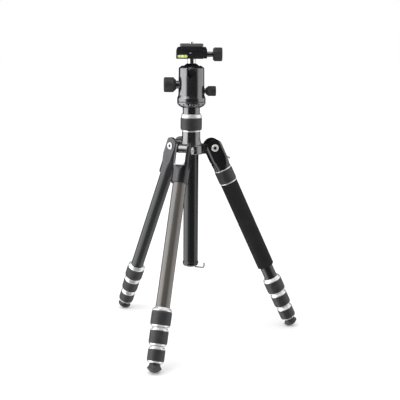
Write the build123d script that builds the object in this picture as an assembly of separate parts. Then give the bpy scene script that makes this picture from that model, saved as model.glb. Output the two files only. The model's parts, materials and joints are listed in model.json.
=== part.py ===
from build123d import *
import os
from math import cos, radians, sin, sqrt

# A four-section travel tripod with a ball head and a quick-release clamp.
# Millimetres and degrees. +Z is up along the centre column. The origin is on the ground,
# under the column axis, with the legs opened to their first angle stop and every tube pushed in.

# ---- stance ----
leg_azimuths = (12.7, 132.7, 252.7)  # where each leg points, turned from +X
leg_spread = 24.7                    # each leg from the vertical
hinge_radius = 42.4                  # hinge bolts from the column axis
detachable_leg = 1                   # the leg that unscrews to serve as a monopod

# ---- leg tubes and twist locks ----
first_tube_radius = 12.5             # outside, of the thickest of the four sections
leg_sections = 4
tube_wall = 1.2
tube_clearance = 0.3                 # radial, between nested sections
first_lock_reach = 287.8             # hinge bolt to the top of the first twist lock
lock_thicknesses = (5.5, 5.5, 5.75)  # from a tube's outside to the outside of its rubber grip
lock_heights = (33.7, 31.7, 29.2)
lock_spacing = 0.5                   # left open between one lock and the next
lock_ring_height = 6.5               # bright tapered ring on top of each lock
lock_bevel_height = 2.8              # bright bevel under each grip
grip_thickness = 2.4
lock_lip_height = 5.7                # bottom lip of a lock, round the thinner tube
lock_nose_wall = 1.4                 # top edge of the ring, round the tube
lock_ring_inset = 0.5                # ring inside the grip's outside
lock_ring_edge = 2.0                 # straight lower edge of the ring
lock_bevel_inset = 1.0               # bevel inside the grip's outside
lock_bevel_edge = 0.8                # straight upper edge of the bevel
lock_bevel_width = 2.0
grip_top_chamfer = 0.6
grip_top_slope = 2.0
grip_bottom_chamfer = 1.2
grip_bottom_slope = 3.0
tube_end_inset = 6.0                 # a tube stops this far above the bottom of its lock
inner_tube_top = 66.0                # hinge bolt to the top of the second section
inner_tube_step = 4.0                # each thinner section starts this much lower

# ---- feet ----
foot_height = 16.1
foot_wall = 2.2                      # rubber round the last tube
foot_flare = 2.7                     # from the top of the foot to its rim
foot_ball_radius = 22.0              # the rounded sole
foot_socket_depth = 8.0

# ---- leg tops and hinges ----
casting_wall = 3.5                   # round the first tube
cheek_thickness = 5.7
cheek_rounding = 3.0                 # rounds the outside corners of the cheeks
fork_taper_start = 24.0
fork_taper_end = 40.0
slot_depth = 32.0                    # hinge bolt to the bottom of the slot between the cheeks
socket_start = 42.0                  # hinge bolt to the blind end of the tube socket
sleeve_end = 62.0                    # hinge bolt to the lower edge of a plain leg top
detachable_sleeve_end = 45.0
lug_half_width = 9.0
lug_radius = 12.0
bolt_radius = 4.0
bolt_head_radius = 6.8
bolt_head_height = 1.8
bolt_socket_radius = 3.46            # across the corners of a 6 mm key
bolt_socket_depth = 1.4

# ---- angle-stop latches ----
latch_side_gap = 0.5                 # each side, to the cheeks
latch_rise = 3.0                     # the plate's top passes this far outside the arm's eye
latch_tongue_gap = 2.2               # tongue to the eye of the spider's arm
latch_inset = 0.6                    # the plate lies this far inside the casting's surface
latch_thickness = 2.6
latch_lip_reach = 5.5
latch_length = 23.3
latch_tongue_inset = 1.0             # tongue narrower than the plate, each side
latch_tongue_end = 2.0               # tongue to the bottom of the slot

# ---- the detachable leg's coupling and foam ----
stud_radius = 8.0
stud_length = 15.0
collar_swell = 1.4                   # rubbered middle of the coupling over the casting
collar_rim = 0.6                     # its bright rims over the casting
collar_height = 29.6
collar_rim_height = 1.6
collar_slope = 2.4                   # from a rim out to the rubbered middle
collar_lower_slope = 3.0
monopod_stud_room = 2.0              # stud's end to the tube inside the coupling
foam_start = 75.0
foam_end = 262.0
foam_thickness = 4.0
foam_top_chamfer = 0.8
foam_top_slope = 1.5
foam_bottom_chamfer = 1.5
foam_bottom_slope = 2.5

# ---- spider (shoulder casting) ----
hub_step = 3.5                       # hub beyond the foot of the throat
spider_rise = 6.1                    # top of the arms above the hinge bolts
spider_drop = 11.3                   # bottom of the arms below the hinge bolts
throat_step = 0.1                    # throat beyond the column lock's core
throat_flare = 2.9
throat_height = 24.4                 # from the top of the arms
throat_straight = 13.5               # straight upper part of the throat
neck_wall = 1.7                      # threaded neck inside the column lock
neck_height = 20.0
hub_bottom_chamfer = 2.0
hub_top_chamfer = 1.5
throat_foot_rise = 0.6               # foot of the throat above the arms
throat_waist = 0.5                   # hollow of the flare below the throat

# ---- centre column ----
column_radius = 14.0
column_wall = 1.4
column_length = 290.0
groove_azimuth = -67.0               # the groove that stops the column turning
groove_width = 3.0
groove_depth = 0.8
column_lock_height = 32.7
column_lock_core_wall = 1.15
column_lock_grip_thickness = 3.1
column_lock_bevel_height = 2.7
column_lock_grip_height = 23.2
column_lock_ring_inset = 0.7         # bright ring inside the grip's outside
column_lock_ring_taper = 1.2
column_lock_ring_edge = 2.0
column_lock_ring_break = 0.8
column_lock_grip_foot = 1.6          # how far the barrelled grip draws in at each height
column_lock_grip_shoulder = 0.2
column_lock_grip_neck = 0.4
column_lock_grip_top = 1.0
column_lock_grip_slope = 2.0
platform_overhang = 2.0              # platform beyond the column tube
platform_height = 11.5
plug_depth = 14.0
head_stud_radius = 4.76              # 3/8 inch head stud
head_stud_height = 9.0
cap_wall = 1.0
cap_floor = 3.0
cap_skirt = 6.0
cap_rounding = 5.0
cap_corner = 1.6
cap_side_start = 4.2
cap_rim_break = 0.6

# ---- weight hook ----
hook_azimuth = -20.0
hook_eye_inset = 4.5                 # swivel inside the column tube's outside
hook_wire_radius = 1.25
hook_arm = 18.0
hook_tip_height = 8.6
hook_bend = 3.6
hook_head_radius = 2.5
hook_head_height = 1.2

# ---- ball head ----
pan_base_height = 11.0
pan_base_overhang = 2.3              # base and foot flange beyond the housing
pan_base_foot_radius = 17.5
pan_scallops = 18
scallop_radius = 3.4
scallop_height = 7.8                 # scallops and the base's swept underside
base_lower_inset = 4.5
base_lower_height = 2.2
base_upper_inset = 1.5
base_upper_height = 4.8
head_edge = 0.6                      # broken edge between the base and the housing
spigot_radius = 12.0
spigot_height = 24.8
spigot_flange_radius = 14.0
spigot_flange_height = 2.5
housing_wall = 5.14                  # round the ball's seat
housing_flange_height = 5.8
housing_shoulder = 13.0              # top of the swept shoulder above the housing's bottom edge
housing_shoulder_slope = 2.0
flange_top_inset = 0.8
shoulder_flare = 0.4
ball_radius = 19.0
ball_room = 33.5                     # housing's bottom edge to the underside of the ball
rim_rise = 13.0                      # housing rim above the ball centre
rim_lip = 0.8                        # the rim's opening is this much smaller than the ball
rim_inset = 0.9
rim_bevel = 3.6
rim_taper_inset = 0.5
rim_taper_height = 1.0
seat_half_height = 8.5               # the spherical seat reaches this far above and below centre
chamber_clearance = 1.6              # chamber under the ball, beyond the ball
cup_height = 6.6
cup_top_drop = 8.8                   # top of the cup below the ball centre
stem_radius = 7.6
stem_reach = 7.2                     # top of the ball to the underside of the clamp
stem_pin_radius = 5.0
stem_pin_height = 9.0
lock_axis_gap = 3.0                  # underside of the ball to the lock knob's axis
lock_boss_height = 3.7
lock_boss_radius = 7.4
lock_spindle_radius = 4.0
lock_spindle_gap = 2.2               # inner end of the lock spindle to the spigot's flange
lock_knob_radius = 13.9
lock_knob_neck_radius = 8.5
lock_knob_length = 23.0
lock_knob_shoulder = 4.5
pan_axis_rise = 19.3                 # pan knob axis above the housing's bottom edge
pan_boss_height = 2.2
pan_boss_radius = 5.0
pan_spindle_radius = 3.0
pan_spindle_gap = 0.9                # inner end of the pan spindle to the spigot
pan_knob_radius = 9.3
pan_knob_neck_radius = 6.2
pan_knob_length = 19.0
pan_knob_shoulder = 3.4

# ---- quick-release clamp and plate ----
clamp_half_length = 22.0
fixed_jaw_thickness = 9.0            # outside the dovetail
clamp_shoulder = 2.5                 # body beyond the dovetail on the movable jaw's side
clamp_height = 15.4                  # underside to the groove floor
jaw_height = 5.5                     # jaws above the groove floor
jaw_gap = 0.6
fixed_jaw_slope = 3.6                # sloped outer corner of the fixed jaw
fixed_jaw_step = 1.2
fixed_jaw_drop = 1.8
movable_jaw_drop = 3.5               # sloped outer corner of the movable jaw
movable_jaw_slope = 2.0
jaw_lip = 1.0                        # jaw tops beyond the dovetail
clamp_break = 1.0                    # broken lower and upper outer edges
bore_end_room = 1.0                  # bores in the clamp run this far past the screw and the pins
jaw_thickness = 6.1
jaw_foot = 0.8                       # the movable jaw starts this far above the clamp's underside
screw_height = 7.9                   # clamp screw axis above the clamp's underside
clamp_screw_radius = 4.0
clamp_screw_length = 13.2            # inside the clamp body
guide_pin_radius = 2.5
guide_pin_spread = 14.0
guide_pin_length = 11.5              # inside the clamp body
knob_collar_radius = 4.9
knob_collar_length = 10.9
clamp_knob_radius = 12.6
clamp_knob_length = 17.2
clamp_knob_shoulder = 1.8
level_length = 20.4
level_height = 7.2
level_inset = 1.4                    # inside the fixed jaw's outer face
level_rise = 4.4                     # above the clamp's underside
level_depth = 5.0
plate_half_length = 25.0
plate_height = 11.0
plate_flange_height = 3.7
plate_overhang = 2.4                 # pad beyond the dovetail
dovetail_half_width = 19.0
dovetail_depth = 2.2
dovetail_edge_height = 2.0
dovetail_slope_height = 2.4
plate_corner = 4.0
camera_screw_radius = 3.175          # 1/4 inch camera thread
camera_screw_reach = 4.0             # tip above the plate
camera_screw_tip = 0.5               # chamfer
camera_screw_shank_radius = 2.4      # relieved under the thread, so that the plate holds it captive
camera_screw_slot_depth = 1.1
camera_screw_slot_half_width = 1.0
camera_screw_head_radius = 8.5
camera_screw_head_height = 3.2
camera_screw_recess_gap = 0.5
camera_screw_recess_depth = 4.6

# ---- fluting on the knobs ----
flute_radius = 0.9
flutes_per_large_knob = 32
flutes_per_small_knob = 24
flute_margin = 1.0                   # shoulder to the start of the flutes
flute_end_margin = 2.0
knob_chamfer = 1.5

# ---- clearances ----
running_fit = 0.05                   # radial, shafts and bolts that turn in their bores
ball_fit = 0.06                      # radial, ball in its seat
sliding_fit = 0.1                    # radial or per side, slides
part_gap = 0.3                       # between pieces that move past each other
bolt_end_play = 0.1

# ---- sizes that follow from the ones above ----
tube_radii = [first_tube_radius - index * (tube_wall + tube_clearance) for index in range(leg_sections)]
lock_radii = [radius + thickness for radius, thickness in zip(tube_radii, lock_thicknesses)]
foot_top_radius = tube_radii[-1] + foot_wall
foot_rim_radius = foot_top_radius + foot_flare
casting_radius = first_tube_radius + casting_wall
slot_half_width = lug_half_width + part_gap
fork_half_width = slot_half_width + cheek_thickness
latch_top = lug_radius - latch_rise
latch_face = casting_radius - latch_inset
monopod_tube_top = detachable_sleeve_end + stud_length + monopod_stud_room
neck_radius = column_radius + sliding_fit + neck_wall
column_lock_core_radius = neck_radius + running_fit + column_lock_core_wall
column_lock_radius = column_lock_core_radius + column_lock_grip_thickness
throat_radius = column_lock_core_radius + throat_step
throat_foot_radius = throat_radius + throat_flare
hub_radius = throat_foot_radius + hub_step
hook_eye_radius = column_radius - hook_eye_inset
housing_radius = ball_radius + ball_fit + housing_wall
pan_base_radius = housing_radius + pan_base_overhang
chamber_radius = ball_radius + chamber_clearance
rim_opening_radius = ball_radius - rim_lip
lock_boss_reach = housing_radius + lock_boss_height
pan_boss_reach = housing_radius + pan_boss_height
clamp_left = dovetail_half_width + fixed_jaw_thickness
clamp_right = dovetail_half_width + clamp_shoulder
plate_half_width = dovetail_half_width + plate_overhang
plate_neck_half_width = dovetail_half_width - dovetail_depth

# ---- levels worked out from the sizes above ----
lock_tops = [first_lock_reach]
for height in lock_heights:
    lock_tops.append(lock_tops[-1] + height + lock_spacing)
foot_top = lock_tops.pop()
foot_end = foot_top + foot_height
foot_ball_centre = foot_end - foot_ball_radius

hinge_level = foot_ball_centre * cos(radians(leg_spread)) + foot_ball_radius
arm_top = hinge_level + spider_rise
arm_bottom = hinge_level - spider_drop
throat_top = arm_top + throat_height
column_lock_bottom = throat_top + part_gap
column_lock_top = column_lock_bottom + column_lock_height
platform_bottom = column_lock_top + part_gap
platform_top = platform_bottom + platform_height
column_bottom = platform_bottom - column_length
cap_bottom = column_bottom - cap_floor
pan_base_top = platform_top + pan_base_height
housing_bottom = pan_base_top + part_gap
ball_level = housing_bottom + ball_room + ball_radius
rim_level = ball_level + rim_rise
lock_axis_level = ball_level - ball_radius - lock_axis_gap
pan_axis_level = housing_bottom + pan_axis_rise
clamp_bottom = ball_level + ball_radius + stem_reach
groove_floor = clamp_bottom + clamp_height
screw_level = clamp_bottom + screw_height
plate_bottom = groove_floor + sliding_fit
plate_top = plate_bottom + plate_height


# ---- helpers ----
def turned(*outline):
    """A turned solid from its closed outline of (radius, height) points."""
    face = Plane.XZ * make_face(Polyline(*outline, close=True))
    return revolve(face, Axis.Z)


def turned_down(*outline):
    """A turned solid on a leg's axis, from (radius, distance below the hinge bolt) points."""
    return turned(*[(radius, -distance) for radius, distance in outline])


def rod(radius, bottom, top):
    """A round bar on Z between two heights."""
    return Pos(0, 0, bottom) * Cylinder(radius, top - bottom, align=(Align.CENTER, Align.CENTER, Align.MIN))


def pipe(outer, inner, bottom, top):
    """A tube on Z between two heights."""
    return rod(outer, bottom, top) - rod(inner, bottom, top)


def block(x_range, y_range, z_range):
    """A box between three pairs of limits."""
    corner = (x_range[0], y_range[0], z_range[0])
    size = (x_range[1] - x_range[0], y_range[1] - y_range[0], z_range[1] - z_range[0])
    return Pos(*corner) * Box(*size, align=(Align.MIN, Align.MIN, Align.MIN))


def extruded_along_y(half_length, *outline):
    """A bar along Y, centred on Y = 0, from its closed outline of (x, z) points."""
    face = Plane.XZ * make_face(Polyline(*outline, close=True))
    return extrude(face, half_length, both=True)


def fluted(solid, radius, count, start, end):
    """Small round flutes cut along Z into a knob of the given radius."""
    for flute in PolarLocations(radius + flute_radius / 3, count):
        solid -= flute * rod(flute_radius, start, end)
    return solid


def leg_place(azimuth):
    """Where a leg stands: built hanging down from its hinge bolt, +X outwards, then opened."""
    return Rot(0, 0, azimuth) * Pos(hinge_radius, 0, hinge_level) * Rot(0, -leg_spread, 0)


def hinge_place(azimuth):
    """The hinge bolt's own place, level, +X outwards."""
    return Rot(0, 0, azimuth) * Pos(hinge_radius, 0, hinge_level)


toward_minus_x = Rot(0, -90, 0)
toward_plus_x = Rot(0, 90, 0)


# ---- legs ----
def leg_top(detachable):
    """Forked casting: two cheeks on the hinge bolt and a sleeve or a threaded stud below."""
    end = detachable_sleeve_end if detachable else sleeve_end
    envelope = turned_down(
        (0, -casting_radius),
        (casting_radius + cheek_rounding, -casting_radius),
        (casting_radius + cheek_rounding, fork_taper_start),
        (casting_radius, fork_taper_end),
        (casting_radius, end),
        (0, end),
    )
    dome = Rot(90, 0, 0) * Cylinder(casting_radius, 2 * fork_half_width)
    cheeks = block(
        (-casting_radius, casting_radius),
        (-fork_half_width, fork_half_width),
        (-fork_taper_end, 0),
    )
    sleeve = turned_down(
        (0, fork_taper_start),
        (fork_half_width, fork_taper_start),
        (casting_radius, fork_taper_end),
        (casting_radius, end),
        (0, end),
    )
    casting = envelope & (dome + cheeks + sleeve)
    casting -= block(
        (-2 * casting_radius, 2 * casting_radius),
        (-slot_half_width, slot_half_width),
        (-slot_depth, 2 * casting_radius),
    )
    latch_seat = latch_face - latch_thickness - part_gap
    casting -= block(
        (latch_seat, 2 * casting_radius),
        (-slot_half_width, slot_half_width),
        (-latch_top - latch_length - part_gap, 0),
    )
    casting -= Rot(90, 0, 0) * Cylinder(bolt_radius + running_fit, 3 * fork_half_width)
    if detachable:
        return casting + rod(stud_radius, -end - stud_length, -end)
    return casting - rod(first_tube_radius, -end, -socket_start)


def latch():
    """Pull-out angle stop: a plate between the cheeks with a flared finger lip and a tongue."""
    seat = latch_face - latch_thickness
    bottom = latch_top + latch_length
    half_width = slot_half_width - latch_side_gap
    plate = extruded_along_y(
        half_width,
        (seat, -latch_top),
        (latch_face, -latch_top),
        (latch_face, -bottom + latch_lip_reach),
        (latch_face + latch_lip_reach, -bottom + latch_thickness / 2),
        (latch_face + latch_lip_reach - latch_thickness / 2, -bottom - latch_thickness / 4),
        (seat, -bottom + latch_lip_reach / 2),
    )
    tongue = block(
        (bolt_radius, seat),
        (-half_width + latch_tongue_inset, half_width - latch_tongue_inset),
        (-slot_depth + latch_tongue_end, -lug_radius - latch_tongue_gap),
    )
    return plate + tongue


def lock_collar(index):
    """Aluminium twist collar, turning on the end of one tube and closing on the next."""
    top = lock_tops[index]
    bottom = top + lock_heights[index]
    outer = lock_radii[index]
    bore = tube_radii[index] + running_fit
    lip_bore = tube_radii[index + 1] + tube_clearance
    core = outer - grip_thickness
    bevel_radius = outer - lock_bevel_inset
    return turned_down(
        (bore, top),
        (bore + lock_nose_wall, top),
        (outer - lock_ring_inset, top + lock_ring_height - lock_ring_edge),
        (outer - lock_ring_inset, top + lock_ring_height),
        (core, top + lock_ring_height),
        (core, bottom - lock_bevel_height),
        (bevel_radius, bottom - lock_bevel_height),
        (bevel_radius, bottom - lock_bevel_height + lock_bevel_edge),
        (bevel_radius - lock_bevel_width, bottom),
        (lip_bore, bottom),
        (lip_bore, bottom - lock_lip_height),
        (bore, bottom - lock_lip_height),
    )


def lock_grip(index):
    """Rubber sleeve round a twist collar."""
    top = lock_tops[index] + lock_ring_height
    bottom = lock_tops[index] + lock_heights[index] - lock_bevel_height
    outer = lock_radii[index]
    inner = outer - grip_thickness
    return turned_down(
        (inner, top),
        (outer - grip_top_chamfer, top),
        (outer, top + grip_top_slope),
        (outer, bottom - grip_bottom_slope),
        (outer - grip_bottom_chamfer, bottom),
        (inner, bottom),
    )


def leg_tube(index, detachable):
    """One carbon tube, open at both ends."""
    outer = tube_radii[index]
    if index == 0:
        top = monopod_tube_top if detachable else socket_start
    else:
        top = inner_tube_top + (index - 1) * inner_tube_step
    if index < len(lock_tops):
        bottom = lock_tops[index] + lock_heights[index] - tube_end_inset
    else:
        bottom = foot_top + foot_socket_depth
    return pipe(outer, outer - tube_wall, -bottom, -top)


def foot():
    """Flared rubber foot with a rounded sole, pushed on the last tube."""
    bell = turned_down(
        (0, foot_top),
        (foot_top_radius, foot_top),
        (foot_rim_radius, foot_end - foot_height / 4),
        (foot_rim_radius, foot_end),
        (0, foot_end),
    )
    bell = bell & Pos(0, 0, -foot_ball_centre) * Sphere(foot_ball_radius)
    return bell - rod(tube_radii[-1], -foot_top - foot_socket_depth, -foot_top)


def monopod_collar():
    """Coupling nut that holds the detachable leg's first tube to the stud on its leg top."""
    top = detachable_sleeve_end + part_gap
    bottom = detachable_sleeve_end + collar_height
    rim = casting_radius + collar_rim
    middle = casting_radius + collar_swell
    tube_bore = first_tube_radius + running_fit
    stud_bore = stud_radius + running_fit
    return turned_down(
        (stud_bore, top),
        (rim, top),
        (rim, top + collar_rim_height),
        (middle, top + collar_rim_height + collar_slope),
        (middle, bottom - collar_rim_height - collar_lower_slope),
        (rim, bottom - collar_rim_height),
        (rim, bottom),
        (tube_bore, bottom),
        (tube_bore, monopod_tube_top - part_gap),
        (stud_bore, monopod_tube_top - part_gap),
    )


def foam_grip():
    """Foam sleeve on the detachable leg's first tube."""
    outer = first_tube_radius + foam_thickness
    return turned_down(
        (first_tube_radius, foam_start),
        (outer - foam_top_chamfer, foam_start),
        (outer, foam_start + foam_top_slope),
        (outer, foam_end - foam_bottom_slope),
        (outer - foam_bottom_chamfer, foam_end),
        (first_tube_radius, foam_end),
    )


def hinge_bolt():
    """Shouldered bolt with a socket head at each end, along Y through the hinge."""
    grip = fork_half_width + bolt_end_play
    bolt = rod(bolt_radius, -grip, grip)
    for side in (0, 180):
        head = rod(bolt_head_radius, grip, grip + bolt_head_height)
        head = chamfer(head.faces().sort_by(Axis.Z)[-1].edges(), bolt_head_height / 3)
        key = extrude(RegularPolygon(bolt_socket_radius, 6), bolt_socket_depth)
        head -= Pos(0, 0, grip + bolt_head_height - bolt_socket_depth) * key
        bolt += Rot(side, 0, 0) * head
    return Rot(90, 0, 0) * bolt


# ---- spider and column ----
def spider():
    """Shoulder casting: a hub with three arms, the throat and the threaded neck of the column lock."""
    bore = column_radius + sliding_fit
    flare_start = throat_top - throat_straight
    casting = turned(
        (0, arm_bottom),
        (hub_radius - hub_bottom_chamfer, arm_bottom),
        (hub_radius, arm_bottom + hub_bottom_chamfer),
        (hub_radius, arm_top - hub_top_chamfer),
        (hub_radius - hub_top_chamfer, arm_top),
        (throat_foot_radius, arm_top + throat_foot_rise),
        ((throat_radius + throat_foot_radius) / 2 - throat_waist, (arm_top + flare_start) / 2),
        (throat_radius, flare_start),
        (throat_radius, throat_top),
        (neck_radius, throat_top),
        (neck_radius, throat_top + neck_height),
        (0, throat_top + neck_height),
    )
    for azimuth in leg_azimuths:
        arm = block((column_radius, hinge_radius), (-lug_half_width, lug_half_width), (arm_bottom, arm_top))
        eye = Pos(hinge_radius, 0, hinge_level) * Rot(90, 0, 0) * Cylinder(lug_radius, 2 * lug_half_width)
        hole = Pos(hinge_radius, 0, hinge_level) * Rot(90, 0, 0) * Cylinder(bolt_radius, 3 * lug_half_width)
        casting += Rot(0, 0, azimuth) * (arm + eye - hole)
    casting -= rod(bore, arm_bottom, throat_top + neck_height)
    key = block(
        (column_radius - groove_depth + sliding_fit * 2, bore + 1),
        (-groove_width / 2 + sliding_fit, groove_width / 2 - sliding_fit),
        (arm_bottom, arm_top),
    )
    return casting + Rot(0, 0, groove_azimuth) * key


def hinge_bolts():
    """The three hinge bolts, one at each arm."""
    return [hinge_place(azimuth) * hinge_bolt() for azimuth in leg_azimuths]


def column_lock_collar():
    """Twist collar of the column lock, turning on the spider's neck."""
    bottom = column_lock_bottom
    grip_bottom = bottom + column_lock_bevel_height
    grip_top = grip_bottom + column_lock_grip_height
    neck_bore = neck_radius + running_fit
    ring_radius = column_lock_radius - column_lock_ring_inset
    ring_top_radius = ring_radius - column_lock_ring_taper
    neck_end = throat_top + neck_height + part_gap
    return turned(
        (neck_bore, bottom),
        (column_lock_core_radius, bottom),
        (column_lock_core_radius, grip_top),
        (ring_radius, grip_top),
        (ring_radius, grip_top + column_lock_ring_edge),
        (ring_top_radius, column_lock_top - column_lock_ring_break),
        (ring_top_radius - column_lock_ring_break, column_lock_top),
        (column_radius + part_gap, column_lock_top),
        (column_radius + part_gap, neck_end),
        (neck_bore, neck_end),
    )


def column_lock_grip():
    """Rubber sleeve round the column lock, slightly barrelled."""
    bottom = column_lock_bottom + column_lock_bevel_height
    top = bottom + column_lock_grip_height
    return turned(
        (column_lock_core_radius, bottom),
        (column_lock_radius - column_lock_grip_foot, bottom),
        (column_lock_radius - column_lock_grip_shoulder, bottom + column_lock_grip_slope),
        (column_lock_radius, (bottom + top) / 2),
        (column_lock_radius - column_lock_grip_neck, top - column_lock_grip_slope),
        (column_lock_radius - column_lock_grip_top, top),
        (column_lock_core_radius, top),
    )


def column_tube():
    """Carbon centre column with one long groove."""
    tube = pipe(column_radius, column_radius - column_wall, column_bottom, platform_bottom)
    groove = block(
        (column_radius - groove_depth, column_radius + 1),
        (-groove_width / 2, groove_width / 2),
        (column_bottom, platform_bottom),
    )
    return tube - Rot(0, 0, groove_azimuth) * groove


def column_platform():
    """Head platform plugged into the column, with the head stud on top."""
    plug_radius = column_radius - column_wall
    platform_radius = column_radius + platform_overhang
    return turned(
        (0, platform_bottom - plug_depth),
        (plug_radius, platform_bottom - plug_depth),
        (plug_radius, platform_bottom),
        (platform_radius, platform_bottom),
        (platform_radius, platform_top),
        (head_stud_radius, platform_top),
        (head_stud_radius, platform_top + head_stud_height),
        (0, platform_top + head_stud_height),
    )


def hook_place():
    """The hook's swivel under the column cap, with its arm along +X."""
    return Rot(0, 0, hook_azimuth) * Pos(hook_eye_radius, 0, cap_bottom)


def column_cap():
    """Bottom cap round the end of the column, with the hook's swivel hole."""
    rim = column_bottom + cap_skirt
    cap_radius = column_radius + cap_wall
    cap = turned(
        (0, cap_bottom),
        (cap_radius - cap_rounding, cap_bottom),
        (cap_radius - cap_corner, cap_bottom + cap_corner),
        (cap_radius, cap_bottom + cap_side_start),
        (cap_radius, rim - cap_rim_break),
        (cap_radius - cap_rim_break, rim),
        (column_radius, rim),
        (column_radius, column_bottom),
        (0, column_bottom),
    )
    return cap - hook_place() * rod(hook_wire_radius + running_fit, -1, cap_floor + 1)


def hook():
    """Bent wire hook: swivel pin with a riveted head, level arm and upturned tip."""
    arm_level = -hook_wire_radius - part_gap
    route = FilletPolyline(
        (0, 0, cap_floor + part_gap),
        (0, 0, arm_level),
        (hook_arm, 0, arm_level),
        (hook_arm, 0, arm_level + hook_tip_height),
        radius=[hook_wire_radius * 1.05, hook_bend],
    )
    wire = sweep(Plane(route @ 0, z_dir=route % 0) * Circle(hook_wire_radius), path=route)
    tip = Pos(hook_arm, 0, arm_level + hook_tip_height) * Sphere(hook_wire_radius)
    head = rod(hook_head_radius, cap_floor + part_gap, cap_floor + part_gap + hook_head_height)
    return hook_place() * (wire + tip + head)


# ---- ball head ----
def pan_base():
    """Scalloped base of the head, screwed on the stud, with the spigot that the housing turns on."""
    thread = head_stud_radius
    spigot_top = pan_base_top + spigot_height
    base = turned(
        (0, platform_top + head_stud_height),
        (thread, platform_top + head_stud_height),
        (thread, platform_top),
        (pan_base_foot_radius, platform_top),
        (pan_base_radius - base_lower_inset, platform_top + base_lower_height),
        (pan_base_radius - base_upper_inset, platform_top + base_upper_height),
        (pan_base_radius, platform_top + scallop_height),
        (pan_base_radius, pan_base_top - head_edge),
        (pan_base_radius - head_edge, pan_base_top),
        (spigot_radius, pan_base_top),
        (spigot_radius, spigot_top),
        (spigot_flange_radius, spigot_top),
        (spigot_flange_radius, spigot_top + spigot_flange_height),
        (0, spigot_top + spigot_flange_height),
    )
    for scallop in PolarLocations(pan_base_radius + scallop_radius / 2, pan_scallops):
        base -= scallop * rod(scallop_radius, platform_top, platform_top + scallop_height)
    return base


def housing():
    """Head housing: swept foot flange, ball seat, drop notch at the front and two knob bosses."""
    flange_top = housing_bottom + housing_flange_height
    shoulder_top = housing_bottom + housing_shoulder
    shell = turned(
        (0, housing_bottom),
        (pan_base_radius - head_edge, housing_bottom),
        (pan_base_radius, housing_bottom + head_edge),
        (pan_base_radius, flange_top),
        (pan_base_radius - flange_top_inset, flange_top + housing_shoulder_slope),
        (housing_radius + shoulder_flare, shoulder_top - housing_shoulder_slope),
        (housing_radius, shoulder_top),
        (housing_radius - rim_taper_inset, rim_level - rim_bevel - rim_taper_height),
        (housing_radius - rim_inset, rim_level - rim_bevel),
        (rim_opening_radius, rim_level),
        (0, rim_level),
    )
    lock_bore_place = Pos(0, 0, lock_axis_level) * toward_minus_x
    pan_bore_place = Pos(0, 0, pan_axis_level) * toward_plus_x
    shell += lock_bore_place * rod(lock_boss_radius, housing_radius - 3, lock_boss_reach)
    shell += pan_bore_place * rod(pan_boss_radius, housing_radius - 3, pan_boss_reach)
    spigot_shoulder = pan_base_top + spigot_height - part_gap
    seat_bottom = ball_level - seat_half_height
    seat_top = ball_level + seat_half_height
    seat_radius = ball_radius + ball_fit
    seat_lip_radius = sqrt(seat_radius**2 - seat_half_height**2)
    shell -= rod(spigot_radius + running_fit, housing_bottom, spigot_shoulder)
    shell -= rod(chamber_radius, spigot_shoulder, seat_bottom)
    shell -= Pos(0, 0, ball_level) * Sphere(seat_radius)
    shell -= turned(
        (0, seat_top),
        (seat_lip_radius, seat_top),
        (rim_opening_radius, rim_level),
        (0, rim_level),
    )
    notch_radius = stem_radius + part_gap * 2
    shell -= Pos(0, -housing_radius, ball_level) * Rot(90, 0, 0) * Cylinder(notch_radius, 2 * housing_radius)
    shell -= block((-notch_radius, notch_radius), (-2 * housing_radius, 0), (ball_level, rim_level + 1))
    shell -= lock_bore_place * rod(lock_spindle_radius + running_fit, chamber_radius - 2, lock_boss_reach)
    shell -= pan_bore_place * rod(pan_spindle_radius + running_fit, spigot_radius, pan_boss_reach)
    return shell


def ball_cup():
    """Low-friction cup under the ball, squeezed by the lock spindle."""
    top = ball_level - cup_top_drop
    ring = pipe(chamber_radius - sliding_fit, lock_spindle_radius, top - cup_height, top)
    return ring - Pos(0, 0, ball_level) * Sphere(ball_radius + ball_fit)


def ball_stem():
    """Ball and stem in one piece, with the pin that carries the clamp."""
    stem = rod(stem_radius, ball_level, clamp_bottom - part_gap)
    pin = rod(stem_pin_radius, clamp_bottom - part_gap, clamp_bottom + stem_pin_height)
    return Pos(0, 0, ball_level) * Sphere(ball_radius) + stem + pin


def knob(radius, neck, shoulder, length, flutes):
    """A fluted knob along +Z from its neck at Z = 0."""
    body = turned(
        (0, 0),
        (neck, 0),
        (radius, shoulder),
        (radius, length - knob_chamfer),
        (radius - knob_chamfer, length),
        (0, length),
    )
    return fluted(body, radius, flutes, shoulder + flute_margin, length - flute_end_margin)


def lock_knob():
    """Ball lock knob with its spindle."""
    grip = knob(
        lock_knob_radius,
        lock_knob_neck_radius,
        lock_knob_shoulder,
        lock_knob_length,
        flutes_per_large_knob,
    )
    start = lock_boss_reach + part_gap
    inner_end = spigot_flange_radius + lock_spindle_gap
    place = Pos(0, 0, lock_axis_level) * toward_minus_x
    return place * (Pos(0, 0, start) * grip + rod(lock_spindle_radius, inner_end, start))


def pan_knob():
    """Panning lock knob with its spindle."""
    grip = knob(
        pan_knob_radius,
        pan_knob_neck_radius,
        pan_knob_shoulder,
        pan_knob_length,
        flutes_per_small_knob,
    )
    start = pan_boss_reach + part_gap
    inner_end = spigot_radius + pan_spindle_gap
    place = Pos(0, 0, pan_axis_level) * toward_plus_x
    return place * (Pos(0, 0, start) * grip + rod(pan_spindle_radius, inner_end, start))


# ---- clamp, plate and camera screw ----
def screw_place(side=0):
    """The clamp screw's axis along +X, or a guide pin's, set to one side."""
    return Pos(0, side * guide_pin_spread, screw_level) * toward_plus_x


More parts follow.
